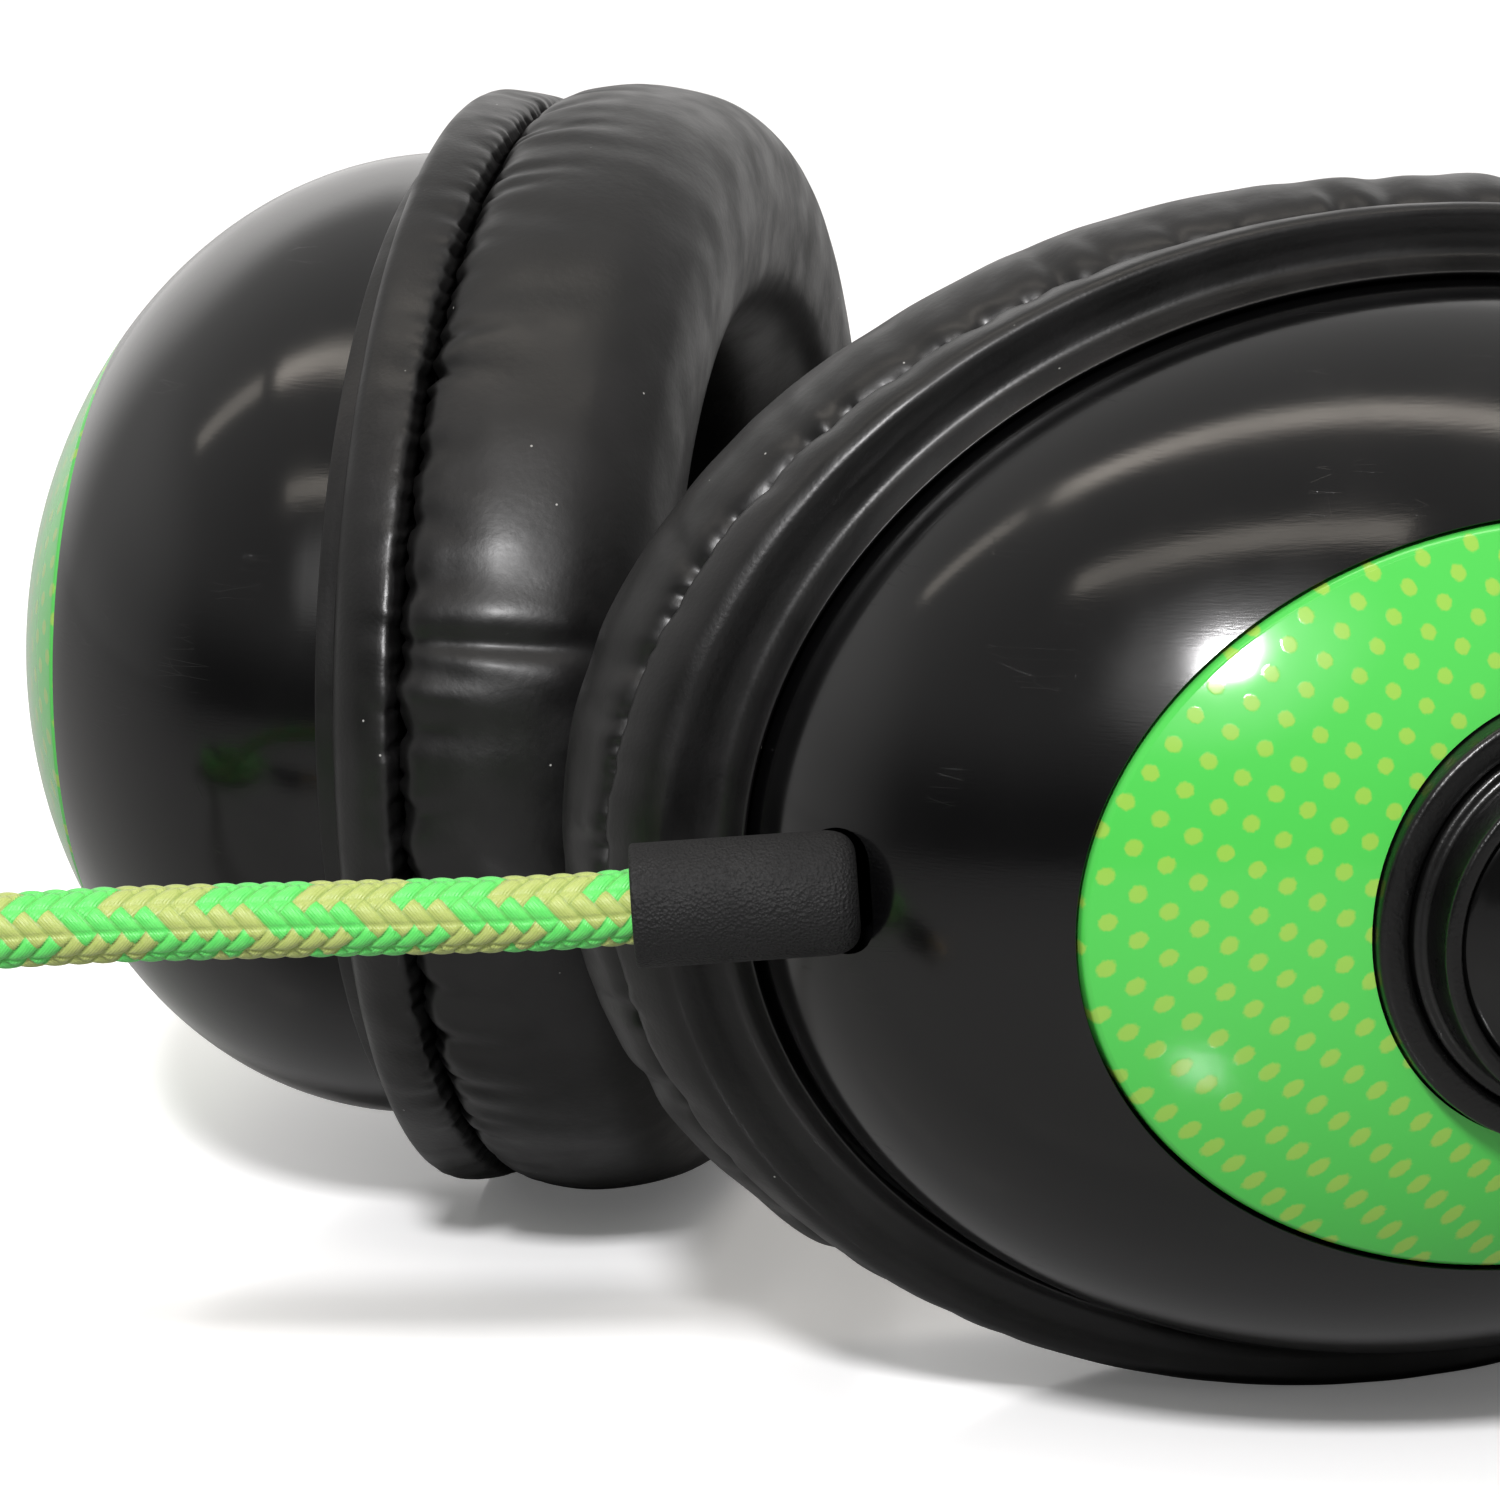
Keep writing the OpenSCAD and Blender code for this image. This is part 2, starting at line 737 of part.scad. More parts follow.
module left_hinge_pin() {
  in_left_cup() hinge_pin();
}

module right_shell() {
  in_right_cup() shell(wire_hole_r);
}

module right_panel() {
  in_right_cup() full_panel();
}

module right_cushion_ring() {
  in_right_cup() cushion_ring();
}

module right_baffle() {
  in_right_cup() baffle();
}

module right_driver_frame() {
  in_right_cup() driver_frame();
}

module right_driver_magnet() {
  in_right_cup() driver_magnet();
}

module right_diaphragm() {
  in_right_cup() diaphragm();
}

module right_ear_cloth() {
  in_right_cup() ear_cloth();
}

module right_cushion() {
  in_right_cup() cushion();
}

module right_shell_screws() {
  in_right_cup() shell_screws();
}

module right_hinge_bracket() {
  in_right_cup() hinge_bracket();
}

module right_bracket_screws() {
  in_right_cup() bracket_screws();
}

module right_hinge_pin() {
  in_right_cup() hinge_pin();
}

module mic_pivot_ring() {
  in_left_cup() pivot_ring();
}

module cable_board() {
  in_left_cup() wiring_board();
}

module cable_gland() {
  in_left_cup() strain_relief();
}

module mic_hub() {
  in_left_cup() hub();
}

module mic_hub_cap() {
  in_left_cup() hub_cap();
}

module mic_retainer() {
  in_left_cup() retainer();
}

module mic_retainer_screw() {
  in_left_cup() retainer_screw();
}

module mic_boom() {
  in_left_cup() boom();
}

module mic_capsule() {
  in_left_cup() capsule();
}

module mic_windscreen() {
  in_left_cup() windscreen();
}

module headband_shell() {
  in_band() outer_band();
}

module headband_spring() {
  in_band() spring_band();
}

module headband_liner() {
  in_band() liner();
}

module headband_pad() {
  in_band() pad();
}

module crossover_wire() {
  in_band() wire();
}

module headband_screws() {
  in_band() band_screws();
}

module left_knuckle() {
  in_band() knuckle();
}

module right_knuckle() {
  in_right_band() knuckle();
}

module left_slider() {
  in_band() slider();
}

module right_slider() {
  in_right_band() slider();
}

module left_housing() {
  in_band() housing();
}

module right_housing() {
  in_right_band() housing();
}

module left_housing_cover() {
  in_band() housing_cover();
}

module right_housing_cover() {
  in_right_band() housing_cover();
}

left_shell();
left_panel();
left_cushion_ring();
left_baffle();
left_driver_frame();
left_driver_magnet();
left_diaphragm();
left_ear_cloth();
left_cushion();
left_shell_screws();
left_hinge_bracket();
left_bracket_screws();
left_hinge_pin();
mic_pivot_ring();
cable_board();
cable_gland();
cord_lead();
cord_coil();
cord_tail();
cord_tie();
plug_relief();
plug_body();
plug_pin();
left_knuckle();
left_slider();
headband_shell();
headband_spring();
headband_liner();
headband_pad();
crossover_wire();
left_housing();
left_housing_cover();
right_housing();
right_housing_cover();
headband_screws();
right_knuckle();
right_slider();
right_shell();
right_panel();
right_cushion_ring();
right_baffle();
right_driver_frame();
right_driver_magnet();
right_diaphragm();
right_ear_cloth();
right_cushion();
right_shell_screws();
right_hinge_bracket();
right_bracket_screws();
right_hinge_pin();
mic_hub();
mic_hub_cap();
mic_retainer();
mic_retainer_screw();
mic_boom();
mic_capsule();
mic_windscreen();
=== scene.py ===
"""Looks of a gaming headset that lies on its side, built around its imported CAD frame.

Shapes are worked out in millimetres, in the frame of the part they belong to, which piece() makes metres.
A cup's own frame has X out of its dome, Y towards the headband and Z towards the wearer's front, from the
middle of the dome's rim. The headband's frame has Y towards its top, and its origin between the hinges."""
import json
import math

import bmesh
import bpy
import numpy as np
from mathutils import Matrix, Vector


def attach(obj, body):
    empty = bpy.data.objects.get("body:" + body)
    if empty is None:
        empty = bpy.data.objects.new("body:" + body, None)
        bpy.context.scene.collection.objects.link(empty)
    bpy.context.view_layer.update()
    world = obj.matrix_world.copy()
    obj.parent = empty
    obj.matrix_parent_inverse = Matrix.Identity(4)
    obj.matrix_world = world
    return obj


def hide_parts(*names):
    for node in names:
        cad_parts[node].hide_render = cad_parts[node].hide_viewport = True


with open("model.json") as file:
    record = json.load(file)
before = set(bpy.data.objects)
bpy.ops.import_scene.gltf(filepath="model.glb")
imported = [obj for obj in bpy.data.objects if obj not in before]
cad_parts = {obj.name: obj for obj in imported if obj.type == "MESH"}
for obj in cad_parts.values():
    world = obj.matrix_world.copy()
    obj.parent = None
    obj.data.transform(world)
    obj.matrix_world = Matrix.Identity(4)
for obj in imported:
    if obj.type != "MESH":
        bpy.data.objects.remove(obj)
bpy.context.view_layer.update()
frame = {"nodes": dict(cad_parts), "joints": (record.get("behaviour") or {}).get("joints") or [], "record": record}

MM = 0.001
JOINTS = {j["name"]: j for j in frame["joints"]}

# ---------------- sizes, in mm, as in the CAD source

RIM_A, RIM_B, DOME_H = 46.5, 35.9, 30.2
WALL = 2.2
PANEL_X, PANEL_T, SEAT_T, GROOVE = 22.1, 1.5, 1.6, 0.3
PANEL_SCALE = math.sqrt(1 - (PANEL_X / DOME_H) ** 2)
PANEL_A, PANEL_B = RIM_A * PANEL_SCALE, RIM_B * PANEL_SCALE
PIVOT_R, HUB_R, CAP_R = 14.7, 12.6, 10.6
HINGE_AT = Vector((10, 57, -7))
TOE = {"left": 30.3, "right": 33.7}
BAFFLE_TOP, BAFFLE_BOTTOM = -6.2, -8.5
CORD_D = 4.8
GLAND_ROOT = Vector((10.3, -43.6, 1.8))
GLAND_R, GLAND_LEN, MOUTH_DEPTH = 4.0, 13.5, 1.5
GLAND_SWEEP, GLAND_DIP = math.radians(16), math.radians(2.3)


# ---------------- frames of the parts

def frame_matrix(x, y, z, origin):
    """A 4x4 matrix with those axes and that origin, in metres."""
    m = Matrix((x, y, z)).transposed().to_4x4()
    m.translation = origin
    return m


def cup_frame(side):
    """The cup's own frame, right-handed on both sides, so the right cup's pieces are mirrored in X."""
    tilt = JOINTS[side + "_tilt"]
    forward = -Vector(tilt["axis"]).normalized()
    level = Vector((1, 0, 0))
    along = forward.cross(level)
    sign = 1 if side == "left" else -1
    toe = math.radians(TOE[side]) * sign
    x = level * math.cos(toe) - along * math.sin(toe)
    y = along * math.cos(toe) + level * math.sin(toe)
    hinge = Vector(tilt["pos_m"])
    origin = hinge - MM * (x * HINGE_AT.x * sign + y * HINGE_AT.y + forward * HINGE_AT.z)
    return frame_matrix(x, y, forward, origin)


def band_frame():
    """The headband's frame: Y is the way in which an arm slides out, and X points to the wearer's left."""
    y = Vector(JOINTS["left_slide"]["axis"]).normalized()
    x = Vector((1, 0, 0))
    middle = (Vector(JOINTS["left_tilt"]["pos_m"]) + Vector(JOINTS["right_tilt"]["pos_m"])) / 2
    return frame_matrix(x, y, x.cross(y), middle)


CUP = {side: cup_frame(side) for side in ("left", "right")}
BAND = band_frame()

# ---------------- mesh helpers


def mesh_of(name, points, faces):
    """A mesh from points in metres, with its faces turned outwards."""
    mesh = bpy.data.meshes.new(name)
    mesh.from_pydata(points.tolist(), [], [list(f) for f in faces])
    b = bmesh.new()
    b.from_mesh(mesh)
    bmesh.ops.recalc_face_normals(b, faces=b.faces)
    b.to_mesh(mesh)
    b.free()
    return mesh


def placed(name, data, matrix):
    """An object in the scene, at that matrix."""
    obj = bpy.data.objects.new(name, data)
    bpy.context.scene.collection.objects.link(obj)
    obj.matrix_world = matrix
    return obj


def piece(name, shape, slot, body, place=None, mirrored=False, stands_for=(), look=None, sharp=None):
    """A visible piece that rides on a CAD body and stands for CAD nodes.

    shape is (points, faces) in mm, in the frame place. look names its material where that isn't the slot's
    own, and edges that bend by more than sharp degrees stay crisp."""
    points, faces = shape
    points = np.array(points, float) * MM
    if mirrored:
        points[:, 0] *= -1
    mesh = mesh_of(name, points, faces)
    mesh.shade_smooth()
    if sharp:
        mesh.set_sharp_from_angle(angle=math.radians(sharp))
    mesh.materials.append(MATERIALS[look or slot])
    obj = placed(name, mesh, place or Matrix.Identity(4))
    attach(obj, body)
    if stands_for:
        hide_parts(*stands_for)
    return obj


def loft(rings, closed=False, caps=False):
    """(points, faces) of a skin over rings of equal length: closed joins the last ring to the first."""
    m, n = len(rings), len(rings[0])
    points = np.concatenate([np.asarray(r, float) for r in rings])
    faces = []
    for j in range(m if closed else m - 1):
        a, b = j * n, (j + 1) % m * n
        faces += [(a + i, a + (i + 1) % n, b + (i + 1) % n, b + i) for i in range(n)]
    if caps:
        faces += [tuple(range(n)), tuple(range((m - 1) * n, m * n))]
    return points, faces


def joined(*parts):
    """One (points, faces) from several."""
    points, faces, start = [], [], 0
    for p, f in parts:
        points.append(np.asarray(p, float))
        faces += [tuple(k + start for k in face) for face in f]
        start += len(p)
    return np.concatenate(points), faces


def rounded(points, steps=6):
    """A smooth line through the points, by Catmull-Rom."""
    p = np.asarray(points, float)
    out = []
    for i in range(len(p) - 1):
        b, c = p[i], p[i + 1]
        a = p[i - 1] if i else 2 * b - c
        d = p[i + 2] if i + 2 < len(p) else 2 * c - b
        for t in np.arange(steps) / steps:
            out.append(0.5 * (2 * b + (c - a) * t + (2 * a - 5 * b + 4 * c - d) * t * t
                              + (3 * b - a - 3 * c + d) * t ** 3))
    out.append(p[-1])
    return np.array(out)


def angles(n):
    return np.arange(n) * 2 * math.pi / n


def flat_oval(a, b, x, turn):
    return np.stack([np.full_like(turn, x), a * np.cos(turn), b * np.sin(turn)], 1)


def dome_x(y, z, t=0.0):
    """Height of the ellipsoid that lies t inside the dome."""
    inside = 1 - (y / (RIM_A - t)) ** 2 - (z / (RIM_B - t)) ** 2
    return (DOME_H - t) * np.sqrt(np.maximum(inside, 0))


def dome_oval(a, b, t, turn):
    """An oval on the ellipsoid that lies t inside the dome."""
    y, z = a * np.cos(turn), b * np.sin(turn)
    return np.stack([dome_x(y, z, t), y, z], 1)


# ---------------- materials


def operator(operation):
    """A method that joins a term and another value by a math node."""
    return lambda self, other: self.graph.math(operation, self, other)


class Term:
    """A value in a node tree, so that formulas over nodes read as arithmetic."""

    __add__ = operator("ADD")
    __sub__ = operator("SUBTRACT")
    __mul__ = operator("MULTIPLY")
    __truediv__ = operator("DIVIDE")
    __mod__ = operator("MODULO")
    __lt__ = operator("LESS_THAN")

    def __init__(self, graph, socket):
        self.graph = graph
        self.socket = socket

    def __rsub__(self, other):
        return self.graph.math("SUBTRACT", other, self)


class Graph:
    """Short ways to add nodes to a node tree."""

    def __init__(self, tree):
        self.tree = tree

    def node(self, kind, settings=None, **inputs):
        n = self.tree.nodes.new("ShaderNode" + kind)
        for key, value in (settings or {}).items():
            setattr(n, key, value)
        for key, value in inputs.items():
            self.feed(n.inputs[key.replace("_", " ")], value)
        return n

    def feed(self, socket, value):
        if isinstance(value, Term):
            self.tree.links.new(value.socket, socket)
        else:
            socket.default_value = value

    def math(self, operation, *values):
        n = self.node("Math", {"operation": operation})
        for socket, value in zip(n.inputs, values):
            self.feed(socket, value)
        return Term(self, n.outputs[0])

    def split(self, vector):
        return [Term(self, axis) for axis in self.node("SeparateXYZ", Vector=vector).outputs]

    def remap(self, value, low, high, to_low=0.0, to_high=1.0, smooth=True):
        n = self.node("MapRange", {"interpolation_type": "SMOOTHSTEP" if smooth else "LINEAR"}, Value=value,
                      From_Min=low, From_Max=high, To_Min=to_low, To_Max=to_high)
        return Term(self, n.outputs["Result"])

    def mix(self, share, a, b):
        n = self.node("Mix", {"data_type": "RGBA"})
        self.feed(n.inputs[0], share)
        for socket, value in ((n.inputs[6], a), (n.inputs[7], b)):
            self.feed(socket, value if isinstance(value, Term) else (*value, 1.0))
        return Term(self, n.outputs[2])


MATERIALS = {}


class Look(Graph):
    """A node material with a Principled shader, which MATERIALS keeps under its name."""

    def __init__(self, name, base, roughness, **sockets):
        self.material = MATERIALS[name] = bpy.data.materials.new(name)
        self.material.use_nodes = True
        super().__init__(self.material.node_tree)
        self.shader = self.tree.nodes["Principled BSDF"]
        self.shader.inputs["Base Color"].default_value = (*base, 1)
        self.shader.inputs["Roughness"].default_value = roughness
        for socket, value in sockets.items():
            self.shader.inputs[socket.replace("_", " ")].default_value = value
        self.where = Term(self, self.node("TexCoord").outputs["Object"])  # metres in the piece's own frame

    def stretched(self, scale, turn=(0, 0, 0)):
        """The piece's coordinates, turned and scaled."""
        return Term(self, self.node("Mapping", Vector=self.where, Scale=scale, Rotation=turn).outputs[0])

    def noise(self, size_mm, detail=2.0, rough=0.5, vector=None):
        n = self.node("TexNoise", Scale=1 / (size_mm * MM), Detail=detail, Roughness=rough,
                      Vector=vector or self.where)
        return Term(self, n.outputs["Fac"])

    def cells(self, size_mm, feature="F1", randomness=1.0, vector=None):
        n = self.node("TexVoronoi", {"feature": feature}, Scale=1 / (size_mm * MM), Randomness=randomness,
                      Vector=vector or self.where)
        return Term(self, n.outputs["Distance"])

    def colour(self, value):
        self.feed(self.shader.inputs["Base Color"], value)

    def roughness(self, value):
        self.feed(self.shader.inputs["Roughness"], value)

    def bump(self, height, depth_mm, strength=1.0):
        """Adds height, 0 to 1 and depth_mm deep, over any bump that is there already."""
        normal = self.shader.inputs["Normal"]
        n = self.node("Bump", Height=height, Distance=depth_mm * MM, Strength=strength)
        if normal.links:
            self.tree.links.new(normal.links[0].from_socket, n.inputs["Normal"])
        self.tree.links.new(n.outputs[0], normal)


def gloss_shell():
    """Black injection-moulded gloss, with handling scratches and smears."""
    m = Look("gloss_shell", (0.002, 0.002, 0.0022), 0.12, Coat_Weight=0.12, Coat_Roughness=0.05)
    m.roughness(m.remap(m.noise(9, 3), 0.35, 0.75, 0.12, 0.19))
    wiped = m.stretched((1, 1, 9), (0.6, 0.3, 0.2))
    scratch = m.remap(m.cells(7, "DISTANCE_TO_EDGE", vector=wiped), 0.0, 0.006, 1.0, 0.0)
    m.bump(scratch * m.remap(m.noise(5, 1), 0.62, 0.7), 0.012, 0.5)
    m.bump(m.noise(1.4, 4, 0.6, vector=wiped), 0.012, 0.35)
    m.bump(m.noise(14, 1), 0.05, 0.35)


# The panel's dots, in mm: how their rows bow and spread towards the edges, where they start, their two
# steps, and the half length and half width of a dot at the back and at the front
DOT_BOW, DOT_SPREAD = 0.0077, 0.0041
DOT_START = (-13.7, 21.5)
DOT_STEPS = ((-1.82, -1.89), (1.68, -1.10))
DOT_LENGTH, DOT_WIDTH = (0.90, 0.51), (0.52, 0.51)


def green_panel():
    """Green gloss printed with yellow-green dots, round at the front and longer towards the back."""
    m = Look("green_panel", (0.06, 0.70, 0.08), 0.13, Coat_Weight=0.3, Coat_Roughness=0.04)
    _, y, z = m.split(m.where)
    y, z = y * 1000.0, z * 1000.0
    across = z * z * DOT_BOW + y - DOT_START[0]
    down = z * z * DOT_SPREAD + z - DOT_START[1]
    (ay, az), (by, bz) = DOT_STEPS
    area = ay * bz - by * az
    i = across * (bz / area) - down * (by / area)
    j = down * (ay / area) - across * (az / area)
    di = i - m.math("ROUND", i)
    dj = j - m.math("ROUND", j)
    dz = (di * az + dj * bz) / (z * (2 * DOT_SPREAD) + 1.0)  # undoes the spread, and dy the bow
    dy = di * ay + dj * by - z * (2 * DOT_BOW) * dz
    length = math.hypot(ay, az)
    along = dy * (ay / length) + dz * (az / length)
    cross = dz * (ay / length) - dy * (az / length)
    u = along / m.remap(z, -20.0, 14.0, *DOT_LENGTH, smooth=False)
    v = cross / m.remap(z, -20.0, 14.0, *DOT_WIDTH, smooth=False)
    blot = m.remap(m.noise(0.25, 2), 0.3, 0.7, 0.9, 1.08, smooth=False)
    ink = m.remap(m.math("SQRT", u * u + v * v) * blot, 0.74, 1.12, 1.0, 0.0)
    ground = m.mix(m.remap(z, -24.0, 20.0), (0.085, 0.64, 0.09), (0.088, 0.64, 0.095))
    m.colour(m.mix(ink, ground, (0.33, 0.62, 0.085)))
    m.bump(ink, 0.012, 0.4)
    m.bump(m.noise(12, 1), 0.04, 0.25)
    m.roughness(m.remap(m.noise(6, 3), 0.4, 0.8, 0.1, 0.17))


def leatherette(name, grain_mm, roughness):
    """Black synthetic leather: fine grain, soft wear and a little dust."""
    m = Look(name, (0.005, 0.005, 0.005), roughness, Coat_Weight=0.1, Coat_Roughness=0.25)
    m.bump(m.cells(grain_mm, "SMOOTH_F1"), 0.03, 0.4)
    m.bump(m.noise(grain_mm * 0.35, 3), 0.02, 0.4)
    m.bump(m.noise(6, 2), 0.25, 0.25)
    m.roughness(m.remap(m.noise(5, 4), 0.3, 0.75, roughness - 0.07, roughness + 0.1))
    tone = m.mix(m.remap(m.noise(7, 4), 0.4, 0.8), (0.003, 0.003, 0.003), (0.007, 0.0065, 0.007))
    dust = m.remap(m.cells(2.6), 0.022, 0.04, 1.0, 0.0) * m.remap(m.noise(4, 1), 0.5, 0.56)
    m.colour(m.mix(dust * 0.8, tone, (0.5, 0.5, 0.48)))


def moulded(name, base, roughness, grain_mm, depth, speck=0.0):
    """Moulded plastic or rubber with an etched grain."""
    m = Look(name, base, roughness)
    m.bump(m.noise(grain_mm, 3, 0.6), depth, 0.7)
    if speck:
        m.bump(m.cells(grain_mm * 0.8), depth, speck)
    m.roughness(m.remap(m.noise(4, 3), 0.3, 0.8, roughness - 0.06, roughness + 0.08))
    dark = tuple(c * 0.8 for c in base)
    m.colour(m.mix(m.noise(6, 3), dark, base))


def metal(name, base, roughness, brush_mm=0.15, stretch=(1, 1, 0.03)):
    """Brushed or drawn metal."""
    m = Look(name, base, roughness, Metallic=1.0)
    brushed = m.noise(brush_mm, 2, 0.6, vector=m.stretched(stretch))
    m.roughness(m.remap(brushed, 0.3, 0.7, roughness - 0.07, roughness + 0.1))
    m.bump(brushed, 0.004, 0.4)
    worn = tuple(c * 0.82 for c in base)
    m.colour(m.mix(m.noise(3, 3), worn, base))


BRAID_N = 8  # threads in each direction round the cord
BRAID_LEAD = 12.3  # mm of cord in which a thread goes once round
FILAMENTS = 7  # ridges across one thread


def braid():
    """Braided polyester. The UV map counts threads, so each thread's colour follows from its number."""
    m = Look("braided_cord", (0.1, 0.7, 0.1), 0.42, Sheen_Weight=0.35, Sheen_Roughness=0.4,
             Subsurface_Weight=0.12, Subsurface_Scale=0.0008, Subsurface_Radius=(1.0, 1.0, 0.6))
    u, v, _ = m.split(Term(m, m.node("UVMap", {"uv_map": "Braid"}).outputs[0]))
    left, right = v - u, v + u
    i, j = m.math("FLOOR", left), m.math("FLOOR", right)
    positive = 50.0 * BRAID_N  # whole rounds, so that no remainder is taken of a negative number
    over = (i + j + positive) % 4.0 < 1.5
    half = BRAID_N / 2 - 0.5
    i_green = (i + positive) % BRAID_N < half
    j_green = (j + positive) % BRAID_N < half
    green = over * i_green + (1.0 - over) * j_green
    strand = over * left + (1.0 - over) * right
    filament = m.math("SINE", strand * (2 * math.pi * FILAMENTS))
    m.bump(m.remap(filament, -1.0, 1.0, smooth=False), 0.05, 0.35)
    m.bump(m.noise(0.12, 2), 0.04, 0.4)
    olive = m.mix(m.noise(0.5, 2), (0.42, 0.53, 0.12), (0.58, 0.66, 0.22))
    lime = m.mix(m.noise(0.5, 2), (0.09, 0.72, 0.12), (0.19, 0.88, 0.19))
    edge = m.math("ABSOLUTE", m.math("FRACT", strand) - 0.5)
    shade = m.remap(edge, 0.34, 0.5) * 0.35
    m.colour(m.mix(shade, m.mix(green, olive, lime), (0.10, 0.22, 0.02)))


def speaker_cloth():
    """Open woven cloth."""
    m = Look("speaker_cloth", (0.012, 0.012, 0.013), 0.85, Sheen_Weight=0.25)
    _, y, z = m.split(m.where)
    per_thread = 2 * math.pi / (0.9 * MM)
    weave = m.math("SINE", y * per_thread) * m.math("SINE", z * per_thread)
    m.bump(m.remap(weave, -1.0, 1.0), 0.2, 0.8)
    m.colour(m.mix(m.remap(weave, 0.0, 1.0), (0.006, 0.006, 0.007), (0.028, 0.028, 0.03)))


def foam():
    """Open-cell foam."""
    m = Look("foam", (0.012, 0.012, 0.012), 0.95)
    m.bump(m.cells(0.7, "SMOOTH_F1"), 0.5, 1.0)
    m.bump(m.noise(0.3, 3), 0.2, 0.7)
    m.colour(m.mix(m.cells(0.7), (0.003, 0.003, 0.003), (0.03, 0.03, 0.03)))


def circuit():
    """Green solder mask over tracks."""
    m = Look("circuit_board", (0.02, 0.15, 0.04), 0.35)
    tracks = m.remap(m.cells(1.8, "DISTANCE_TO_EDGE", 0.2), 0.06, 0.09)
    m.colour(m.mix(tracks, (0.03, 0.24, 0.07), (0.015, 0.12, 0.035)))


def strap_fabric():
    """Black woven strap and thread."""
    m = Look("strap_fabric", (0.01, 0.01, 0.011), 0.9, Sheen_Weight=0.3)
    x, y, _ = m.split(m.where)
    ribs = m.math("SINE", (x + y) * (2 * math.pi / (0.8 * MM)))
    m.bump(m.remap(ribs, -1.0, 1.0), 0.15, 0.8)
    m.colour(m.mix(m.noise(0.5, 3), (0.006, 0.006, 0.007), (0.022, 0.022, 0.024)))


def film():
    """Thin polyester film of a diaphragm."""
    m = Look("diaphragm_film", (0.55, 0.58, 0.45), 0.25, Coat_Weight=0.4)
    m.bump(m.noise(1.2, 2), 0.05, 0.5)
    m.colour(m.mix(m.noise(3, 2), (0.45, 0.48, 0.36), (0.62, 0.64, 0.52)))


gloss_shell()
green_panel()
leatherette("leatherette", 0.5, 0.43)
leatherette("leatherette_ring", 0.3, 0.4)
moulded("black_plastic", (0.011, 0.011, 0.012), 0.42, 0.3, 0.02)
moulded("pivot_plastic", (0.003, 0.003, 0.003), 0.3, 0.4, 0.03, 0.3)
moulded("hub_gloss", (0.003, 0.003, 0.003), 0.12, 2.0, 0.01)
metal("driver_steel", (0.42, 0.42, 0.43), 0.35)
film()
speaker_cloth()
metal("zinc_screws", (0.62, 0.63, 0.65), 0.28)
metal("pin_steel", (0.6, 0.6, 0.62), 0.22)
metal("spring_steel", (0.5, 0.51, 0.53), 0.3, 0.2, (0.03, 0.03, 1))
circuit()
moulded("strain_relief_rubber", (0.005, 0.005, 0.0055), 0.72, 0.28, 0.11, 0.8)
braid()
strap_fabric()
metal("gold_contacts", (0.80, 0.56, 0.22), 0.2)
moulded("wire_jacket", (0.02, 0.02, 0.02), 0.4, 0.5, 0.01)
moulded("boom_rubber", (0.012, 0.012, 0.0125), 0.5, 0.4, 0.03)
foam()

# ---------------- camera, at the photograph's viewing angle

AZIMUTH, ELEVATION = math.radians(43.6), math.radians(11.57)
LENS, SENSOR = 168.0, 36.0
CAMERA_BACK, CAMERA_RIGHT, CAMERA_UP = 466.75, -45.06, 4.53  # mm from the middle of the left dome's rim


def make_camera():
    """The camera, level from side to side."""
    back = Vector((math.sin(AZIMUTH) * math.cos(ELEVATION), -math.cos(AZIMUTH) * math.cos(ELEVATION),
                   math.sin(ELEVATION)))
    right = Vector((math.cos(AZIMUTH), math.sin(AZIMUTH), 0))
    up = back.cross(right)
    shift = MM * (CAMERA_BACK * back + CAMERA_RIGHT * right + CAMERA_UP * up)
    camera = placed("camera", bpy.data.cameras.new("camera"),
                    frame_matrix(right, up, back, CUP["left"].translation + shift))
    camera.data.lens, camera.data.sensor_width = LENS, SENSOR
    camera.data.clip_start, camera.data.clip_end = 0.01, 20
    bpy.context.scene.camera = camera


make_camera()

# ---------------- cord

GLAND_DIR = Vector((-math.sin(GLAND_SWEEP) * math.cos(GLAND_DIP),
                    -math.cos(GLAND_SWEEP) * math.cos(GLAND_DIP), -math.sin(GLAND_DIP)))
LEAD_ROUTE = [
    (-9, -118.5, 38.6), (-18, -127, 38.2), (-27, -135.5, 37.3), (-34, -142, 35.8), (-41, -148.5, 33),
    (-48, -155, 28.8), (-55, -162, 23.2), (-62, -168.5, 17.2), (-70, -176, 11.4), (-78, -184, 7),
    (-86, -191.5, 4.4), (-94, -199, 3.4),
]
TAIL_ROUTE = [(-38.5, -225.5, 8.2), (-34.6, -217.2, 6.6), (-28.8, -210.2, 5)]
COIL_AT, COIL_R, COIL_ROWS, COIL_LIFT = (-72, -223), 27.5, 3, 1.0
COIL_START, COIL_TURNS = math.radians(132.5), 6 - 152.5 / 360  # wound from the lead's side to the tail's
ROW_STEP = 0.14  # share of a turn over which the cord steps to its next row
THREAD_R, THREAD_RISE = CORD_D / 2 - 0.34, 0.40  # radius of the cord between its threads, and their height
FINE_RUN = 62.0  # mm of cord, from the strain relief, whose braid is modelled finely


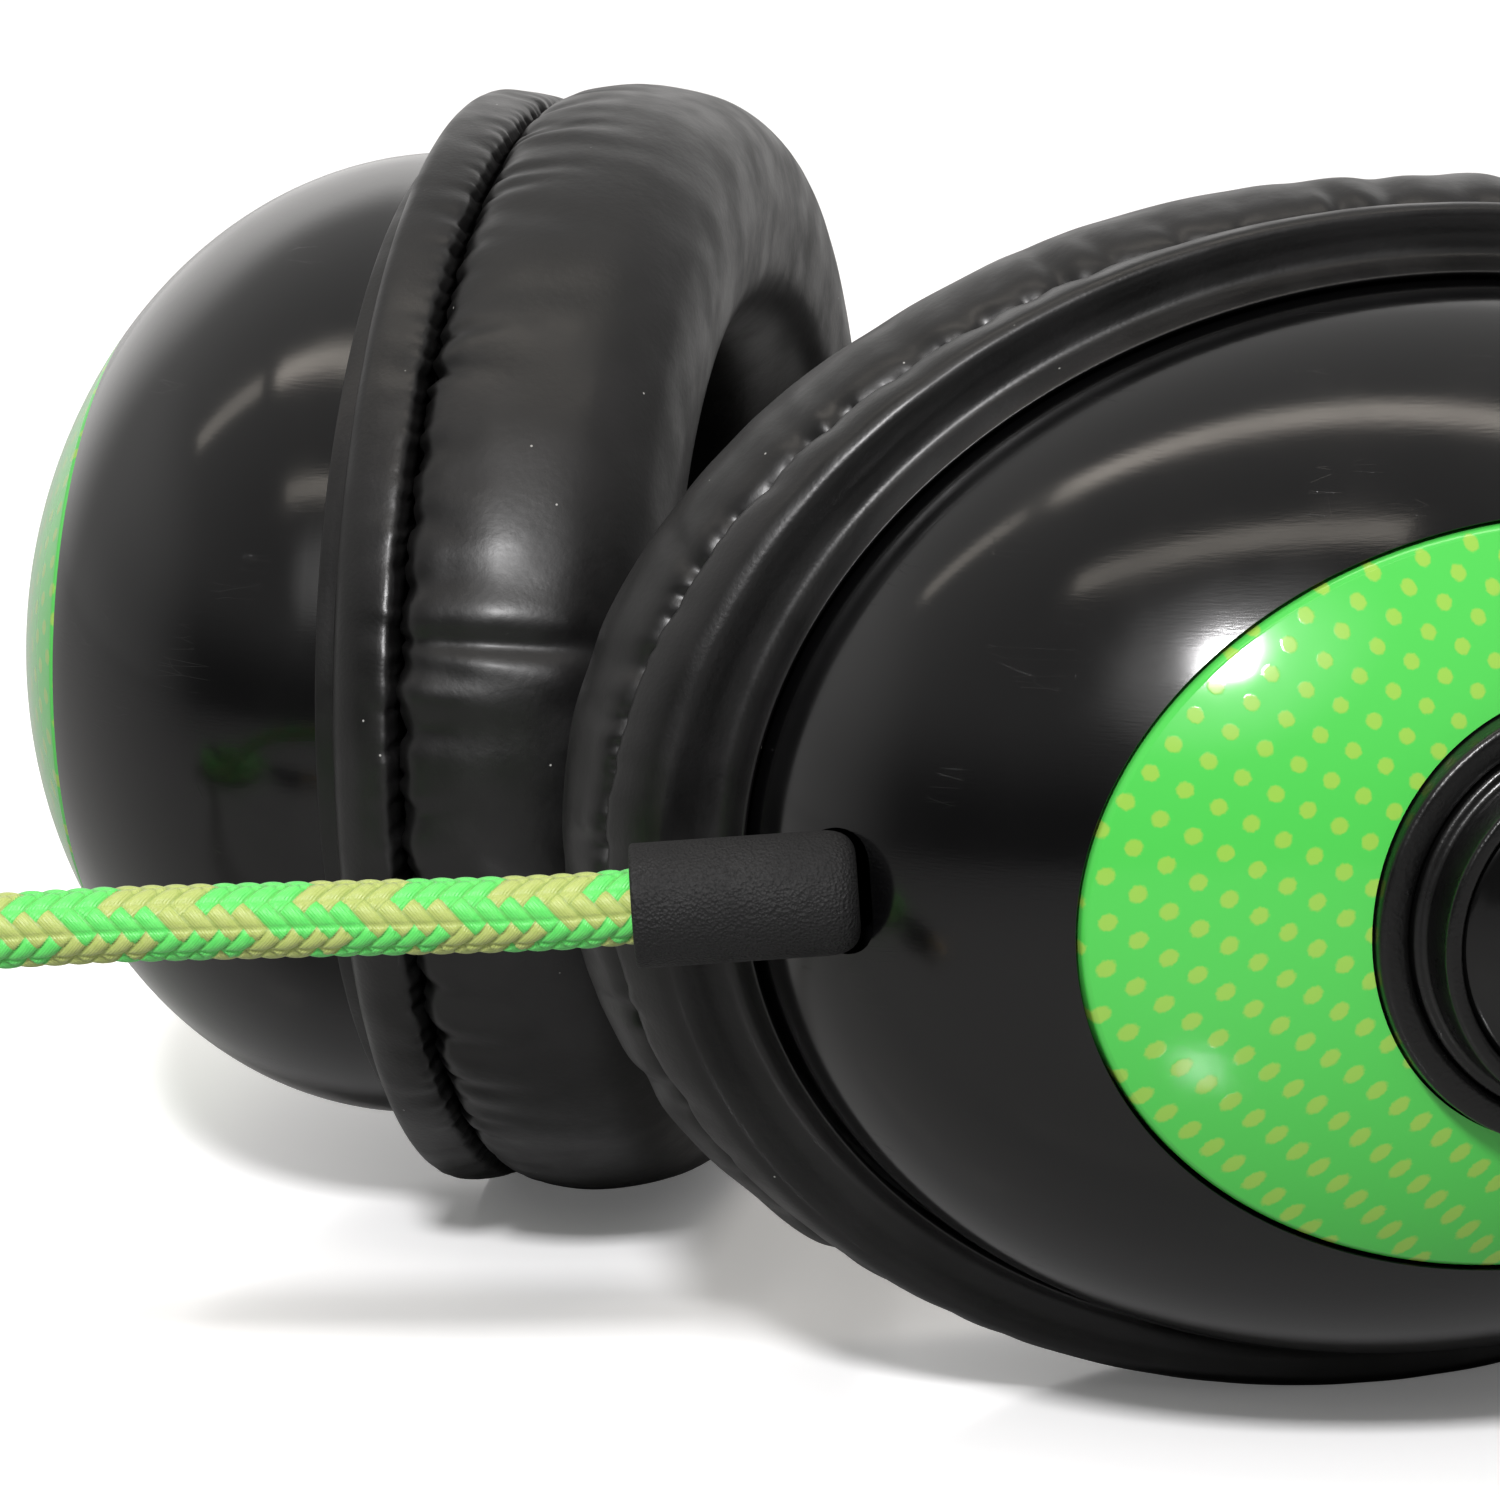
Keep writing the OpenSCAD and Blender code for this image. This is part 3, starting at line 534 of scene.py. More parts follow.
def coil_line(per_turn=72):
    """The coil's middle line: rows side by side from outside in, then back out in a second layer on top."""
    radii = [COIL_R + (COIL_ROWS - 1 - 2 * k) / 2 * CORD_D for k in range(COIL_ROWS)]
    radii += radii[::-1]
    heights = [COIL_LIFT + CORD_D * (0.5 + layer) for layer in (0, 1) for _ in range(COIL_ROWS)]
    last = 2 * COIL_ROWS - 1
    out = []
    for k in range(int(COIL_TURNS * per_turn) + 1):
        turns = k / per_turn
        row = min(int(turns), last)
        following = min(row + 1, last)
        into = max(0.0, (turns - row - 1 + ROW_STEP) / ROW_STEP) if row < last else 0.0
        w = into * into * (3 - 2 * into)
        r = radii[row] * (1 - w) + radii[following] * w
        z = heights[row] * (1 - w) + heights[following] * w
        a = COIL_START + 2 * math.pi * turns
        out.append((COIL_AT[0] + r * math.cos(a), COIL_AT[1] + r * math.sin(a), z))
    return out


def evenly(points, step):
    """The line cut at even steps, and the length up to each point."""
    p = np.asarray(points, float)
    run = np.concatenate([[0], np.cumsum(np.linalg.norm(np.diff(p, axis=0), axis=1))])
    at = np.linspace(0, run[-1], max(2, int(round(run[-1] / step)) + 1))
    return np.stack([np.interp(at, run, p[:, k]) for k in range(3)], 1), at


def carried(line):
    """Side and up vectors along a line that turn as little as they can."""
    heading = np.gradient(line, axis=0)
    heading /= np.linalg.norm(heading, axis=1)[:, None]
    side = np.cross(heading[0], (0, 0, 1) if abs(heading[0][2]) < 0.9 else (1, 0, 0))
    sides = []
    for h in heading:
        side = side - h * side.dot(h)
        side = side / np.linalg.norm(side)
        sides.append(side)
    sides = np.array(sides)
    return sides, np.cross(sides, heading)


def braid_height(left, right):
    """Height, 0 to 1, of a braid whose threads each pass over two and under two."""
    over = (np.floor(left) + np.floor(right)) % 4 < 1.5
    strand = np.where(over, left, right)
    crown = np.sqrt(np.maximum(0, 1 - (2 * (strand % 1) - 1) ** 2 * 0.94))
    span = ((left + right) / 2) % 1
    lie = np.sin(math.pi * np.clip(span, 0, 1)) ** 0.45
    return crown * (0.35 + 0.65 * lie)


def spokes(line, n):
    """n unit vectors round each point of a line, square to it."""
    side, above = carried(line)
    turn = angles(n)
    return side[:, None] * np.cos(turn)[None, :, None] + above[:, None] * np.sin(turn)[None, :, None]


def braided_tube(line, run, n):
    """(points, faces) of a tube whose surface is the braid itself."""
    v = angles(n) / (2 * math.pi) * BRAID_N
    u = run / BRAID_LEAD * BRAID_N
    r = THREAD_R + THREAD_RISE * braid_height(v[None, :] - u[:, None], v[None, :] + u[:, None])
    return loft(list(line[:, None] + r[..., None] * spokes(line, n)), caps=True)


def add_braid_uv(obj, tubes):
    """A UV map that counts threads: u along the cord and v round it.

    tubes gives each tube's first point, the number of points round it, and u at each of its rings."""
    mesh = obj.data
    layer = mesh.uv_layers.new(name="Braid")
    vertex = np.empty(len(mesh.loops), int)
    mesh.loops.foreach_get("vertex_index", vertex)
    polygon = np.repeat(np.arange(len(mesh.polygons)), [p.loop_total for p in mesh.polygons])
    out = np.zeros((len(mesh.loops), 2))
    for first, n, u in tubes:
        mine = (vertex >= first) & (vertex < first + n * len(u))
        ring, step = np.divmod(vertex[mine] - first, n)
        out[mine, 0] = u[ring]
        out[mine, 1] = step * BRAID_N / n
    high = np.zeros(len(mesh.polygons))
    np.maximum.at(high, polygon, out[:, 1])
    low = np.full(len(mesh.polygons), np.inf)
    np.minimum.at(low, polygon, out[:, 1])
    wraps = (high - low > BRAID_N / 2)[polygon] & (out[:, 1] < BRAID_N / 2)
    out[wraps, 1] += BRAID_N
    layer.data.foreach_set("uv", out.ravel())


def make_cord():
    """The whole cord, with its middle line and its exit in metres."""
    root = GLAND_ROOT + (GLAND_LEN - MOUTH_DEPTH) * GLAND_DIR
    mouth = (CUP["left"] @ (root * MM)) / MM
    way = CUP["left"].to_3x3() @ GLAND_DIR
    lead = rounded([mouth, mouth + 8 * way, *map(Vector, LEAD_ROUTE)], steps=8)
    coil = np.array(coil_line())
    tail = rounded([coil[-1], *TAIL_ROUTE], steps=8)
    line = np.concatenate([lead[:-1], coil, tail[1:]])
    fine, fine_run = evenly(line, 0.14)
    coarse, coarse_run = evenly(line, 0.7)
    near = fine_run <= FINE_RUN
    far = coarse_run > FINE_RUN - 1.0
    parts, tubes, start = [], [], 0
    for path, run, n in ((fine[near], fine_run[near], 96), (coarse[far], coarse_run[far], 40)):
        parts.append(braided_tube(path, run, n))
        tubes.append((start, n, run / BRAID_LEAD * BRAID_N))
        start += len(path) * n
    obj = piece("braided_cable", joined(*parts), "braided_cord", "left_cup",
                stands_for=("cord_lead", "cord_coil", "cord_tail"))
    add_braid_uv(obj, tubes)
    path, _ = evenly(line, 1.5)
    return obj, path * MM, Vector(mouth) * MM


# ---------------- shapes of an ear cup


def both_cups():
    """For each cup its side, and the body, frame and mirroring of the pieces on it."""
    for side, place in CUP.items():
        yield side, {"body": side + "_cup", "place": place, "mirrored": side == "right"}


def softened(profile, r, closed=False, steps=4):
    """The profile with each corner rounded off, starting up to r before it."""
    p = np.asarray(profile, float)
    n = len(p)
    out = [] if closed else [p[0]]
    for i in range(0 if closed else 1, n if closed else n - 1):
        at = p[i]
        start, end = (at + (other - at) * min(0.45, r / max(np.linalg.norm(other - at), 1e-6))
                      for other in (p[i - 1], p[(i + 1) % n]))
        for t in np.linspace(0, 1, steps):
            out.append((1 - t) ** 2 * start + 2 * t * (1 - t) * at + t * t * end)
    if not closed:
        out.append(p[-1])
    return np.array(out)


def soft_rectangle(x0, x1, y0, y1, r, steps):
    """A rectangle with rounded corners."""
    return softened([(x0, y0), (x1, y0), (x1, y1), (x0, y1)], r, True, steps)


def turned(profile, n=128, ring=False):
    """(points, faces) turned round X from (radius, height) points: a ring, or a solid with flat ends."""
    turn = angles(n)
    rings = [np.stack([np.full(n, h), r * np.cos(turn), r * np.sin(turn)], 1) for r, h in profile]
    return loft(rings, closed=ring, caps=not ring)


def cut(obj, points, faces):
    """Takes a closed shape, given in mm in the piece's own frame, away from the piece."""
    tool = placed("cutter", mesh_of("cutter", np.asarray(points) * MM, faces), obj.matrix_world)
    modifier = obj.modifiers.new("cut", "BOOLEAN")
    modifier.operation, modifier.object, modifier.solver = "DIFFERENCE", tool, "EXACT"
    bpy.context.view_layer.update()
    result = bpy.data.meshes.new_from_object(obj.evaluated_get(bpy.context.evaluated_depsgraph_get()))
    obj.modifiers.clear()
    obj.data = result
    result.set_sharp_from_angle(angle=math.radians(30))
    bpy.data.objects.remove(tool)


def make_domes():
    """Glossy shells, with the seat of the panel, a hole in its middle and one for the strain relief."""
    turn = angles(216)
    inner = WALL + SEAT_T
    seat_a, seat_b = PANEL_A + GROOVE, PANEL_B + GROOVE
    mid_a, mid_b = PANEL_A * 0.75, PANEL_B * 0.8  # a ring in between, so that the seat follows the dome
    edge = math.degrees(math.asin(PANEL_X / DOME_H))
    for side, on_cup in both_cups():
        hole = PIVOT_R + 0.15 if side == "left" else 6.0
        rings = [flat_oval(RIM_A, RIM_B, BAFFLE_TOP + 0.05, turn), flat_oval(RIM_A, RIM_B, -2, turn)]
        for t in np.radians(np.linspace(0, edge - 1.1, 34)):
            rings.append(flat_oval(RIM_A * math.cos(t), RIM_B * math.cos(t), DOME_H * math.sin(t), turn))
        rings.append(dome_oval(seat_a + 0.06, seat_b + 0.06, 0, turn))
        for a, b, t in ((seat_a, seat_b, 0.08), (seat_a, seat_b, SEAT_T), (mid_a, mid_b, SEAT_T),
                        (hole, hole, SEAT_T), (hole, hole, inner), (mid_a, mid_b, inner)):
            rings.append(dome_oval(a, b, t, turn))
        for t in np.radians(np.arange(45, -1, -5)):
            rings.append(flat_oval((RIM_A - WALL) * math.cos(t), (RIM_B - WALL) * math.cos(t),
                                   (DOME_H - inner) * math.sin(t), turn))
        rings.append(flat_oval(RIM_A - WALL, RIM_B - WALL, BAFFLE_TOP + 0.05, turn))
        dome = piece(side + "_dome", loft(rings, closed=True), "gloss_shell", **on_cup,
                     stands_for=[side + "_shell"], sharp=30)
        if side == "left":
            r = GLAND_R + 0.15
            points, faces = turned(softened([(0.1, -1.7), (r, -1.7), (r, 12)], 2.6, steps=8), 96)
            cut(dome, along_gland(points), faces)


def along_gland(points):
    """Points turned round X, moved so that they run along the strain relief from its root."""
    side = GLAND_DIR.cross(Vector((0, 0, 1))).normalized()
    above = side.cross(GLAND_DIR)
    return np.array(GLAND_ROOT) + np.asarray(points) @ np.array([GLAND_DIR, side, above])


def make_panels():
    """Each panel is a slice of the dome's own surface, with an eased edge all round."""
    turn = angles(216)
    for side, on_cup in both_cups():
        hole = PIVOT_R + 0.15 if side == "left" else 0.4
        rings = [dome_oval(PANEL_A, PANEL_B, PANEL_T, turn)]
        for inset, below in ((0, 0.32), (0.05, 0.16), (0.15, 0.02)):
            rings.append(flat_oval(PANEL_A - inset, PANEL_B - inset, PANEL_X - below, turn))
        for share in [0.0, 0.004, 0.012, *np.linspace(0.03, 1, 22)]:
            a = PANEL_A - 0.3 + (hole - PANEL_A + 0.3) * share
            b = PANEL_B - 0.3 + (hole - PANEL_B + 0.3) * share
            rings.append(dome_oval(a, b, 0, turn))
        rings.append(dome_oval(hole, hole, PANEL_T, turn))
        rings.append(dome_oval(PANEL_A * 0.75, PANEL_B * 0.8, PANEL_T, turn))
        piece(side + "_dotted_panel", loft(rings, closed=True), "green_panel", **on_cup,
              stands_for=[side + "_panel"], sharp=50)


# Half length, half width and height of the ovals of a skin: the padded ring's from the seam to its lip, and
# the cushion's from the seam over the front and into the opening
RING_OUTLINE = [
    (53.5, 38.8, -8.4), (54.5, 39.8, -7.8), (54.0, 40.4, -6), (53.1, 40.6, -4.5), (52.3, 40.4, -3.8),
    (51.6, 40.0, -3.55), (50.6, 39.3, -3.6), (49.4, 38.4, -3.7), (48.2, 37.5, -3.5), (47.6, 37.0, -2.7),
    (47.3, 36.7, -1.7), (47.1, 36.5, -1.2), (46.85, 36.25, -1.4),
]
CUSHION_OUTLINE = [
    (53.2, 38.3, -8.75), (54.6, 39.8, -9.8), (55.2, 40.6, -11.9), (55.3, 40.8, -15.7), (53.8, 39.6, -20.7),
    (50.4, 36.8, -24.1), (45.5, 32.5, -25.3), (41, 29, -25.2), (37, 26.2, -24.6), (33.6, 23.6, -22.8),
    (31.4, 21.4, -19.2), (31.0, 21.0, -14.5), (32.2, 22.0, -10.2), (34, 23.6, -8.7),
]
FOLD_SEED = {"left": 5, "right": 8}
CREASES = {  # place along the seam, depth, width and slant of the deepest folds across each cushion
    "left": [(60.0, 0.35, 1.0, 0.1), (212.0, 0.4, 1.1, -0.15)],
    "right": [(134.3, 0.55, 0.9, 0.03), (20.0, 0.35, 1.0, 0.1), (236.0, 0.4, 1.0, -0.1)],
}


class Skin:
    """A skin of ovals. Its points are known by q, the place along its seam, and s, the distance from it."""

    def __init__(self, outline, n, steps):
        self.turn = angles(n)
        self.points = np.array([flat_oval(a, b, x, self.turn) for a, b, x in rounded(outline, steps)])
        step = np.linalg.norm(np.diff(self.points, axis=0), axis=2)
        self.s = np.concatenate([np.zeros((1, n)), np.cumsum(step, axis=0)])
        seam_step = np.linalg.norm(np.roll(self.points[0], -1, 0) - self.points[0], axis=1)
        self.q_max = seam_step.sum()
        self.q = np.broadcast_to(np.concatenate([[0], np.cumsum(seam_step)[:-1]]), self.s.shape)
        along = np.roll(self.points, -1, 1) - np.roll(self.points, 1, 1)
        normal = np.cross(along, np.gradient(self.points, axis=0))
        normal /= np.maximum(np.linalg.norm(normal, axis=2), 1e-9)[..., None]
        outwards = np.sign(normal[10, 0] @ self.points[10, 0])
        self.normal = normal * outwards

    def past(self, at, slant, away):
        """How far each point lies past a slanting line that is at q = at where s = away."""
        return (self.q - at - slant * (self.s - away) + self.q_max / 2) % self.q_max - self.q_max / 2

    def folds(self, rng, count, depth, width, reach, s_from=0.0, s_to=0.0, slant=0.25):
        """Random folds: place along the seam, distance from it, depth, width, reach and slant of each."""
        q = (np.arange(count) + rng.uniform(-0.32, 0.32, count)) * self.q_max / count
        return np.stack([q, rng.uniform(s_from, s_to, count), rng.uniform(*depth, count),
                         rng.uniform(*width, count), rng.uniform(*reach, count),
                         rng.uniform(-slant, slant, count)], 1)

    def height(self, folds):
        """Height, in mm, that the folds give to each point."""
        out = np.zeros(self.s.shape)
        for at, away, depth, width, reach, slant in folds:
            across = self.past(at, slant, away) / (width * (1 + 0.06 * np.minimum(self.s, 25)))
            groove = np.exp(-across ** 2) - 0.45 * np.exp(-(across / 2.2) ** 2)
            out -= depth * groove * np.exp(-np.abs((self.s - away) / reach) ** 1.8)
        return out

    def raised(self, height, hidden):
        """(points, faces) of the skin with that height, closed by the hidden ovals (a, b, x) behind it."""
        back = [flat_oval(a, b, x, self.turn) for a, b, x in hidden]
        return loft([*(self.points + self.normal * height[..., None]), *back], closed=True)


def make_rings():
    """The padded ring behind each cushion, gathered at the seam."""
    skin = Skin(RING_OUTLINE, 900, 5)
    for side, on_cup in both_cups():
        rng = np.random.default_rng(FOLD_SEED[side] + 20)
        gathers = [*skin.folds(rng, 150, (0.2, 0.45), (0.32, 0.5), (0.7, 1.4)),
                   *skin.folds(rng, 54, (0.12, 0.42), (0.8, 1.5), (2.0, 4.0))]
        shape = skin.raised(skin.height(gathers), [(46.85, 36.25, BAFFLE_TOP), (50, 38.4, BAFFLE_TOP),
                                                   (50, 38.4, BAFFLE_BOTTOM)])
        piece(side + "_padded_ring", shape, "leatherette", **on_cup, stands_for=[side + "_cushion_ring"],
              look="leatherette_ring")


def make_cushions():
    """Crowned cushions, with gathers at the seam, wrinkles, soft dents and a few deep creases."""
    skin = Skin(CUSHION_OUTLINE, 1100, 8)
    for side, on_cup in both_cups():
        rng = np.random.default_rng(FOLD_SEED[side])
        stitches = skin.folds(rng, 140, (0.2, 0.5), (0.32, 0.5), (0.8, 1.5))
        puckers = skin.folds(rng, 58, (0.3, 0.95), (0.6, 1.2), (2.5, 8.0))
        wrinkles = skin.folds(rng, 30, (0.06, 0.2), (0.7, 1.6), (3.5, 8.5), 3.0, 10.0, 0.35)
        dents = skin.folds(rng, 12, (0.15, 0.35), (4.0, 8.0), (5.0, 9.0), 6.0, 18.0, 0.6)
        relief = skin.height([*stitches, *puckers, *wrinkles, *dents])
        for at, depth, width, slant in CREASES[side]:
            d = skin.past(at, slant, 7) / width
            bulge = np.exp(-((d - 2.4) / 2.0) ** 2) + 0.5 * np.exp(-((d + 2.2) / 1.6) ** 2)
            relief += depth * (bulge - np.exp(-d ** 2)) * np.exp(-((skin.s - 7) / 7.5) ** 4)
        floor_x = BAFFLE_BOTTOM - 0.15
        cushion = piece(side + "_ear_cushion", skin.raised(relief, [(36, 25, floor_x), (50, 37, floor_x)]),
                        "leatherette", **on_cup, stands_for=[side + "_cushion"])


CLOTH_A, CLOTH_B = 32.5, 22.5


def make_ear_cloths():
    """Acoustic cloth, drawn tight over the baffle and slightly bulged over the driver."""
    turn = angles(144)
    for side, on_cup in both_cups():
        rings = [flat_oval(CLOTH_A, CLOTH_B, BAFFLE_BOTTOM - 0.1, turn)]
        for r in np.linspace(1, 0.02, 24):
            ring = flat_oval(CLOTH_A * r, CLOTH_B * r, BAFFLE_BOTTOM - 0.35 - 0.3 * (1 - r * r), turn)
            ring[:, 0] -= 0.08 * np.sin(turn * 24) * max(0.0, r - 0.8) * 5  # rucks at the edge
            rings.append(ring)
        cloth = piece(side + "_stretched_cloth", loft(rings, caps=True), "speaker_cloth", **on_cup,
                      stands_for=[side + "_ear_cloth"], sharp=50)
        side + "_baffle"


def make_gland():
    """Strain relief: a thin-walled rubber sleeve that the cord leaves through its open mouth."""
    floor_x = GLAND_LEN - MOUTH_DEPTH
    foot = softened([(0.1, -0.9), (GLAND_R, -0.9), (GLAND_R, 4)], 2.2, steps=9)
    sleeve = softened([(GLAND_R, 5), (GLAND_R, GLAND_LEN), (GLAND_R - 0.75, GLAND_LEN),
                       (GLAND_R - 0.8, floor_x), (CORD_D / 2 - 0.1, floor_x)], 0.3, steps=6)
    points, faces = turned([*foot, *sleeve], 96)
    piece("strain_relief", (along_gland(points), faces), "strain_relief_rubber", "left_cup", CUP["left"],
          stands_for=["cable_gland"], sharp=60)


def make_pivot():
    """Fixed ring, turning hub and glossy cap of the microphone, from (radius, height) outlines."""
    left = CUP["left"]
    bore = HUB_R + 0.1
    ring = softened([(8.6, 19.5), (17, 19.5), (17, 21.2), (PIVOT_R, 21.2), (PIVOT_R, 29.75), (bore, 29.75),
                     (bore, 23), (8.6, 23)], 0.55, closed=True, steps=7)
    piece("pivot_outer_ring", turned(ring, 192, ring=True), "black_plastic", "left_cup", left,
          stands_for=["mic_pivot_ring"], look="pivot_plastic", sharp=60)
    seat = CAP_R + 0.08
    hub = softened([(8.4, 19.15), (8.4, 23.4), (HUB_R, 23.4), (HUB_R, 30), (11.8, 30.1), (11.8, 33.55),
                    (seat, 33.55), (seat, 32), (3, 32)], 0.4, steps=6)
    piece("pivot_hub", turned(hub, 192), "black_plastic", "mic", left, stands_for=["mic_hub"],
          look="pivot_plastic", sharp=60)
    r = np.array([*np.linspace(0.4, 10.1, 18), 10.35, 10.5])
    top = 11.4 + np.sqrt(24 ** 2 - r ** 2)  # a cap crowned to 24 mm, with an eased edge
    top[-2:] = [top[-3] - 0.09, top[-3] - 0.28]
    cap = [(CAP_R - 0.4, 32.05), (10.5, 32.15), *zip(r[::-1], top[::-1])]
    piece("pivot_cap", turned(cap, 192), "gloss_shell", "mic", left, stands_for=["mic_hub_cap"],
          look="hub_gloss", sharp=50)


# The boom runs straight and then bends towards the mouth
BOOM_X, BOOM_START, BOOM_RUN, BOOM_R, BEND_R, BEND_TURN = 33.4, 8.0, 52.0, 2.7, 120.0, math.radians(20)
BEND_DIR = np.array([-math.sin(BEND_TURN), math.cos(BEND_TURN), 0])
RIB_PITCH = 2.4


def swept(line, radii, n=32):
    """(points, faces) of a round tube along a line, with its own radius at each point."""
    return loft(list(line[:, None] + np.asarray(radii)[:, None, None] * spokes(line, n)), caps=True)


def bend_point(a):
    """The point of the boom's bend at that angle, in the cup's frame."""
    middle = np.array([BOOM_X - BEND_R, BOOM_START + BOOM_RUN, 0])
    return middle + BEND_R * np.array([math.cos(a), math.sin(a), 0])


def make_boom():
    """A ribbed flexible boom with a smooth collar, and the foam that covers its microphone."""
    line = [(BOOM_X, y, 0) for y in np.arange(BOOM_START, BOOM_START + BOOM_RUN, 0.4)]
    line = np.array([*line, *map(bend_point, np.arange(0, BEND_TURN, 0.004))])
    run = np.arange(len(line)) * 0.45
    ribs = BOOM_R - 0.22 + 0.2 * np.abs(np.sin(run * math.pi / RIB_PITCH)) ** 0.5
    ribs[run < 9] = BOOM_R - 0.02
    end = bend_point(BEND_TURN)
    collar = [(0, 2.6), (0.05, 3.6), (0.6, 4.1), (2, 4.2), (4, 4.2), (6, 4.2), (7.4, 4.15), (7.95, 3.7),
              (8, 3)]
    along = np.array([end + h * BEND_DIR for h, _ in collar])
    shape = joined(swept(line, ribs), swept(along, [r for _, r in collar], 48))
    piece("ribbed_boom", shape, "boom_rubber", "mic", CUP["left"], stands_for=["mic_boom"], sharp=60)
    nose = [(7 * math.sin(t), 15 + 7 * math.cos(t)) for t in np.radians(np.arange(6, 91, 6))]
    tail = [(7 * math.cos(t), 5 - 7 * math.sin(t)) for t in np.radians(np.arange(6, 50, 6))]
    socket = [(4.35, -0.2), (4.35, 8.1), (3.15, 8.2), (3.15, 13.1), (0.2, 13.2)]
    points, faces = turned(rounded([*nose, *tail, *socket], steps=2)[:-1], 96)
    rng = np.random.default_rng(3)
    outside = np.linalg.norm(points[:, 1:], axis=1) > 4.6
    points[outside, 1:] *= 1 + rng.normal(0, 0.012, (outside.sum(), 1))
    aside = np.array([math.cos(BEND_TURN), math.sin(BEND_TURN), 0])
    points = end + points @ np.array([BEND_DIR, aside, (0, 0, 1)])
    piece("foam_windscreen", (points, faces), "foam", "mic", CUP["left"], stands_for=["mic_windscreen"])


# ---------------- headband

CORNER_X, ARCH_Y, CORNER_R, CORNER_TURN, TOP_R = 35.0, 44.8, 50.0, math.radians(55), 111.02
TOP_Y = ARCH_Y + (CORNER_R - TOP_R) * math.sin(CORNER_TURN)


def arch_line(skip=0.0, step=0.9):
    """Middle line of the headband with its outward direction, leaving out skip radians at each end."""
    corner = np.arange(skip, CORNER_TURN, step / CORNER_R)
    left, right = ([((CORNER_X + CORNER_R * math.cos(a)) * s, ARCH_Y + CORNER_R * math.sin(a),
                      math.cos(a) * s, math.sin(a)) for a in corner] for s in (1, -1))
    top = [(TOP_R * math.cos(a), TOP_Y + TOP_R * math.sin(a), math.cos(a), math.sin(a))
           for a in np.arange(CORNER_TURN, math.pi - CORNER_TURN, step / TOP_R)]
    return np.array([*left, *top, *right[::-1]])


def band_width(x, top, side):
    """Half width of the headband at x: it narrows towards the housings."""
    return np.interp(abs(x), [30, 100], [top, side])


def band_solid(line, section):
    """(points, faces) of a band. section(x, share) gives its (outward, z) outline at each place along it."""
    rings = []
    for k, (x, y, nx, ny) in enumerate(line):
        outline = np.asarray(section(x, k / (len(line) - 1)))
        rings.append(np.stack([x + nx * outline[:, 0], y + ny * outline[:, 0], outline[:, 1]], 1))
    return loft(rings, caps=True)


def shell_section(x, _):
    """The outer shell, which is thickest along its middle."""
    low, high, hw = 2.2, 4.6, band_width(x, 20, 11)
    z = np.linspace(-1, 1, 25)
    top = np.stack([high - 0.9 * np.abs(z) ** 4, z * hw], 1)
    return np.concatenate([top, softened([(low, hw), (low, -hw)], 0.3)])


def liner_section(x, _):
    """The flat inner liner."""
    low, high, hw = -1.2, 0.58, band_width(x, 18.5, 10)
    return soft_rectangle(low, high, -hw, hw, 0.5, 5)


PAD_STEP, PAD_DEEP, CHANNEL = 0.5, 8.6, 21.0
SEWN = 0.42  # share by which a sewn channel pulls the pad in


def pad_crown(z):
    """Share of the pad's full depth at z, from -1 to 1 across it."""
    return (1 - np.abs(z) ** 3.2) ** 0.6


def make_headband():
    """Outer shell, liner, and a pad with sewn channels across it."""
    for name, section, slot, node in (("band_outer", shell_section, "gloss_shell", "headband_shell"),
                                      ("band_liner", liner_section, "black_plastic", "headband_liner")):
        piece(name, band_solid(arch_line(), section), slot, "headband", BAND, stands_for=[node], sharp=40)
    line = arch_line(CORNER_TURN - math.radians(25), PAD_STEP)
    length = (len(line) - 1) * PAD_STEP

    def pad_section(x, share):
        s = share * length
        end = min(s, length - s)
        full = min(1.0, math.sqrt(max(0.0, 1 - (1 - min(end / 5.0, 1)) ** 2)) + 0.12)
        channel = ((s - length / 2) / CHANNEL + 0.5) % 1 - 0.5
        sewn = 1 - SEWN * math.exp(-(channel * CHANNEL / 1.5) ** 2)
        ruck = 0.14 * math.sin(s * 2.1) + 0.1 * math.sin(s * 3.7 + 1)
        hw = band_width(x, 19, 11) * (0.96 + 0.04 * full)
        z = np.sin(np.linspace(-math.pi / 2, math.pi / 2, 41))
        crown = pad_crown(z)
        deep = -1.6 - PAD_DEEP * crown * (0.72 + 0.28 * sewn) * full
        deep += ruck * crown * (np.exp(-((1 - np.abs(z)) / 0.25) ** 2) - 0.3)
        under = np.stack([deep, z * hw], 1)
        return np.concatenate([under, [(-1.3, hw - 1), (-1.3, 1 - hw)]])

    pad = piece("band_pad", band_solid(line, pad_section), "leatherette", "headband", BAND,
                stands_for=["headband_pad"])
    make_stitches(line)


def make_stitches(line):
    """A row of stitches along each channel of the pad."""
    parts = []
    for channel in range(-2, 3):
        k = int(round(((len(line) - 1) / 2) + channel * CHANNEL / PAD_STEP))
        if not 4 < k < len(line) - 4:
            continue
        x, y, nx, ny = line[k]
        hw = band_width(x, 19, 11)
        for z in np.arange(-0.8, 0.81, 0.1):
            deep = -1.72 - PAD_DEEP * pad_crown(z) * (0.72 + 0.28 * (1 - SEWN))
            ends = [(x + nx * deep, y + ny * deep, (z + d) * hw) for d in (-0.035, -0.012, 0.012, 0.035)]
            parts.append(swept(np.array(ends), [0.12, 0.24, 0.24, 0.12], 8))
    piece("pad_stitches", joined(*parts), "strap_fabric", "headband", BAND)


# ---------------- end of the cord

PLUG_AT, PLUG_TURN, PLUG_R = np.array([-28.8, -210.2, 5.0]), math.radians(46), 4.6
PLUG_AXES = np.array([(math.cos(PLUG_TURN), math.sin(PLUG_TURN), 0),
                      (-math.sin(PLUG_TURN), math.cos(PLUG_TURN), 0), (0, 0, 1)])


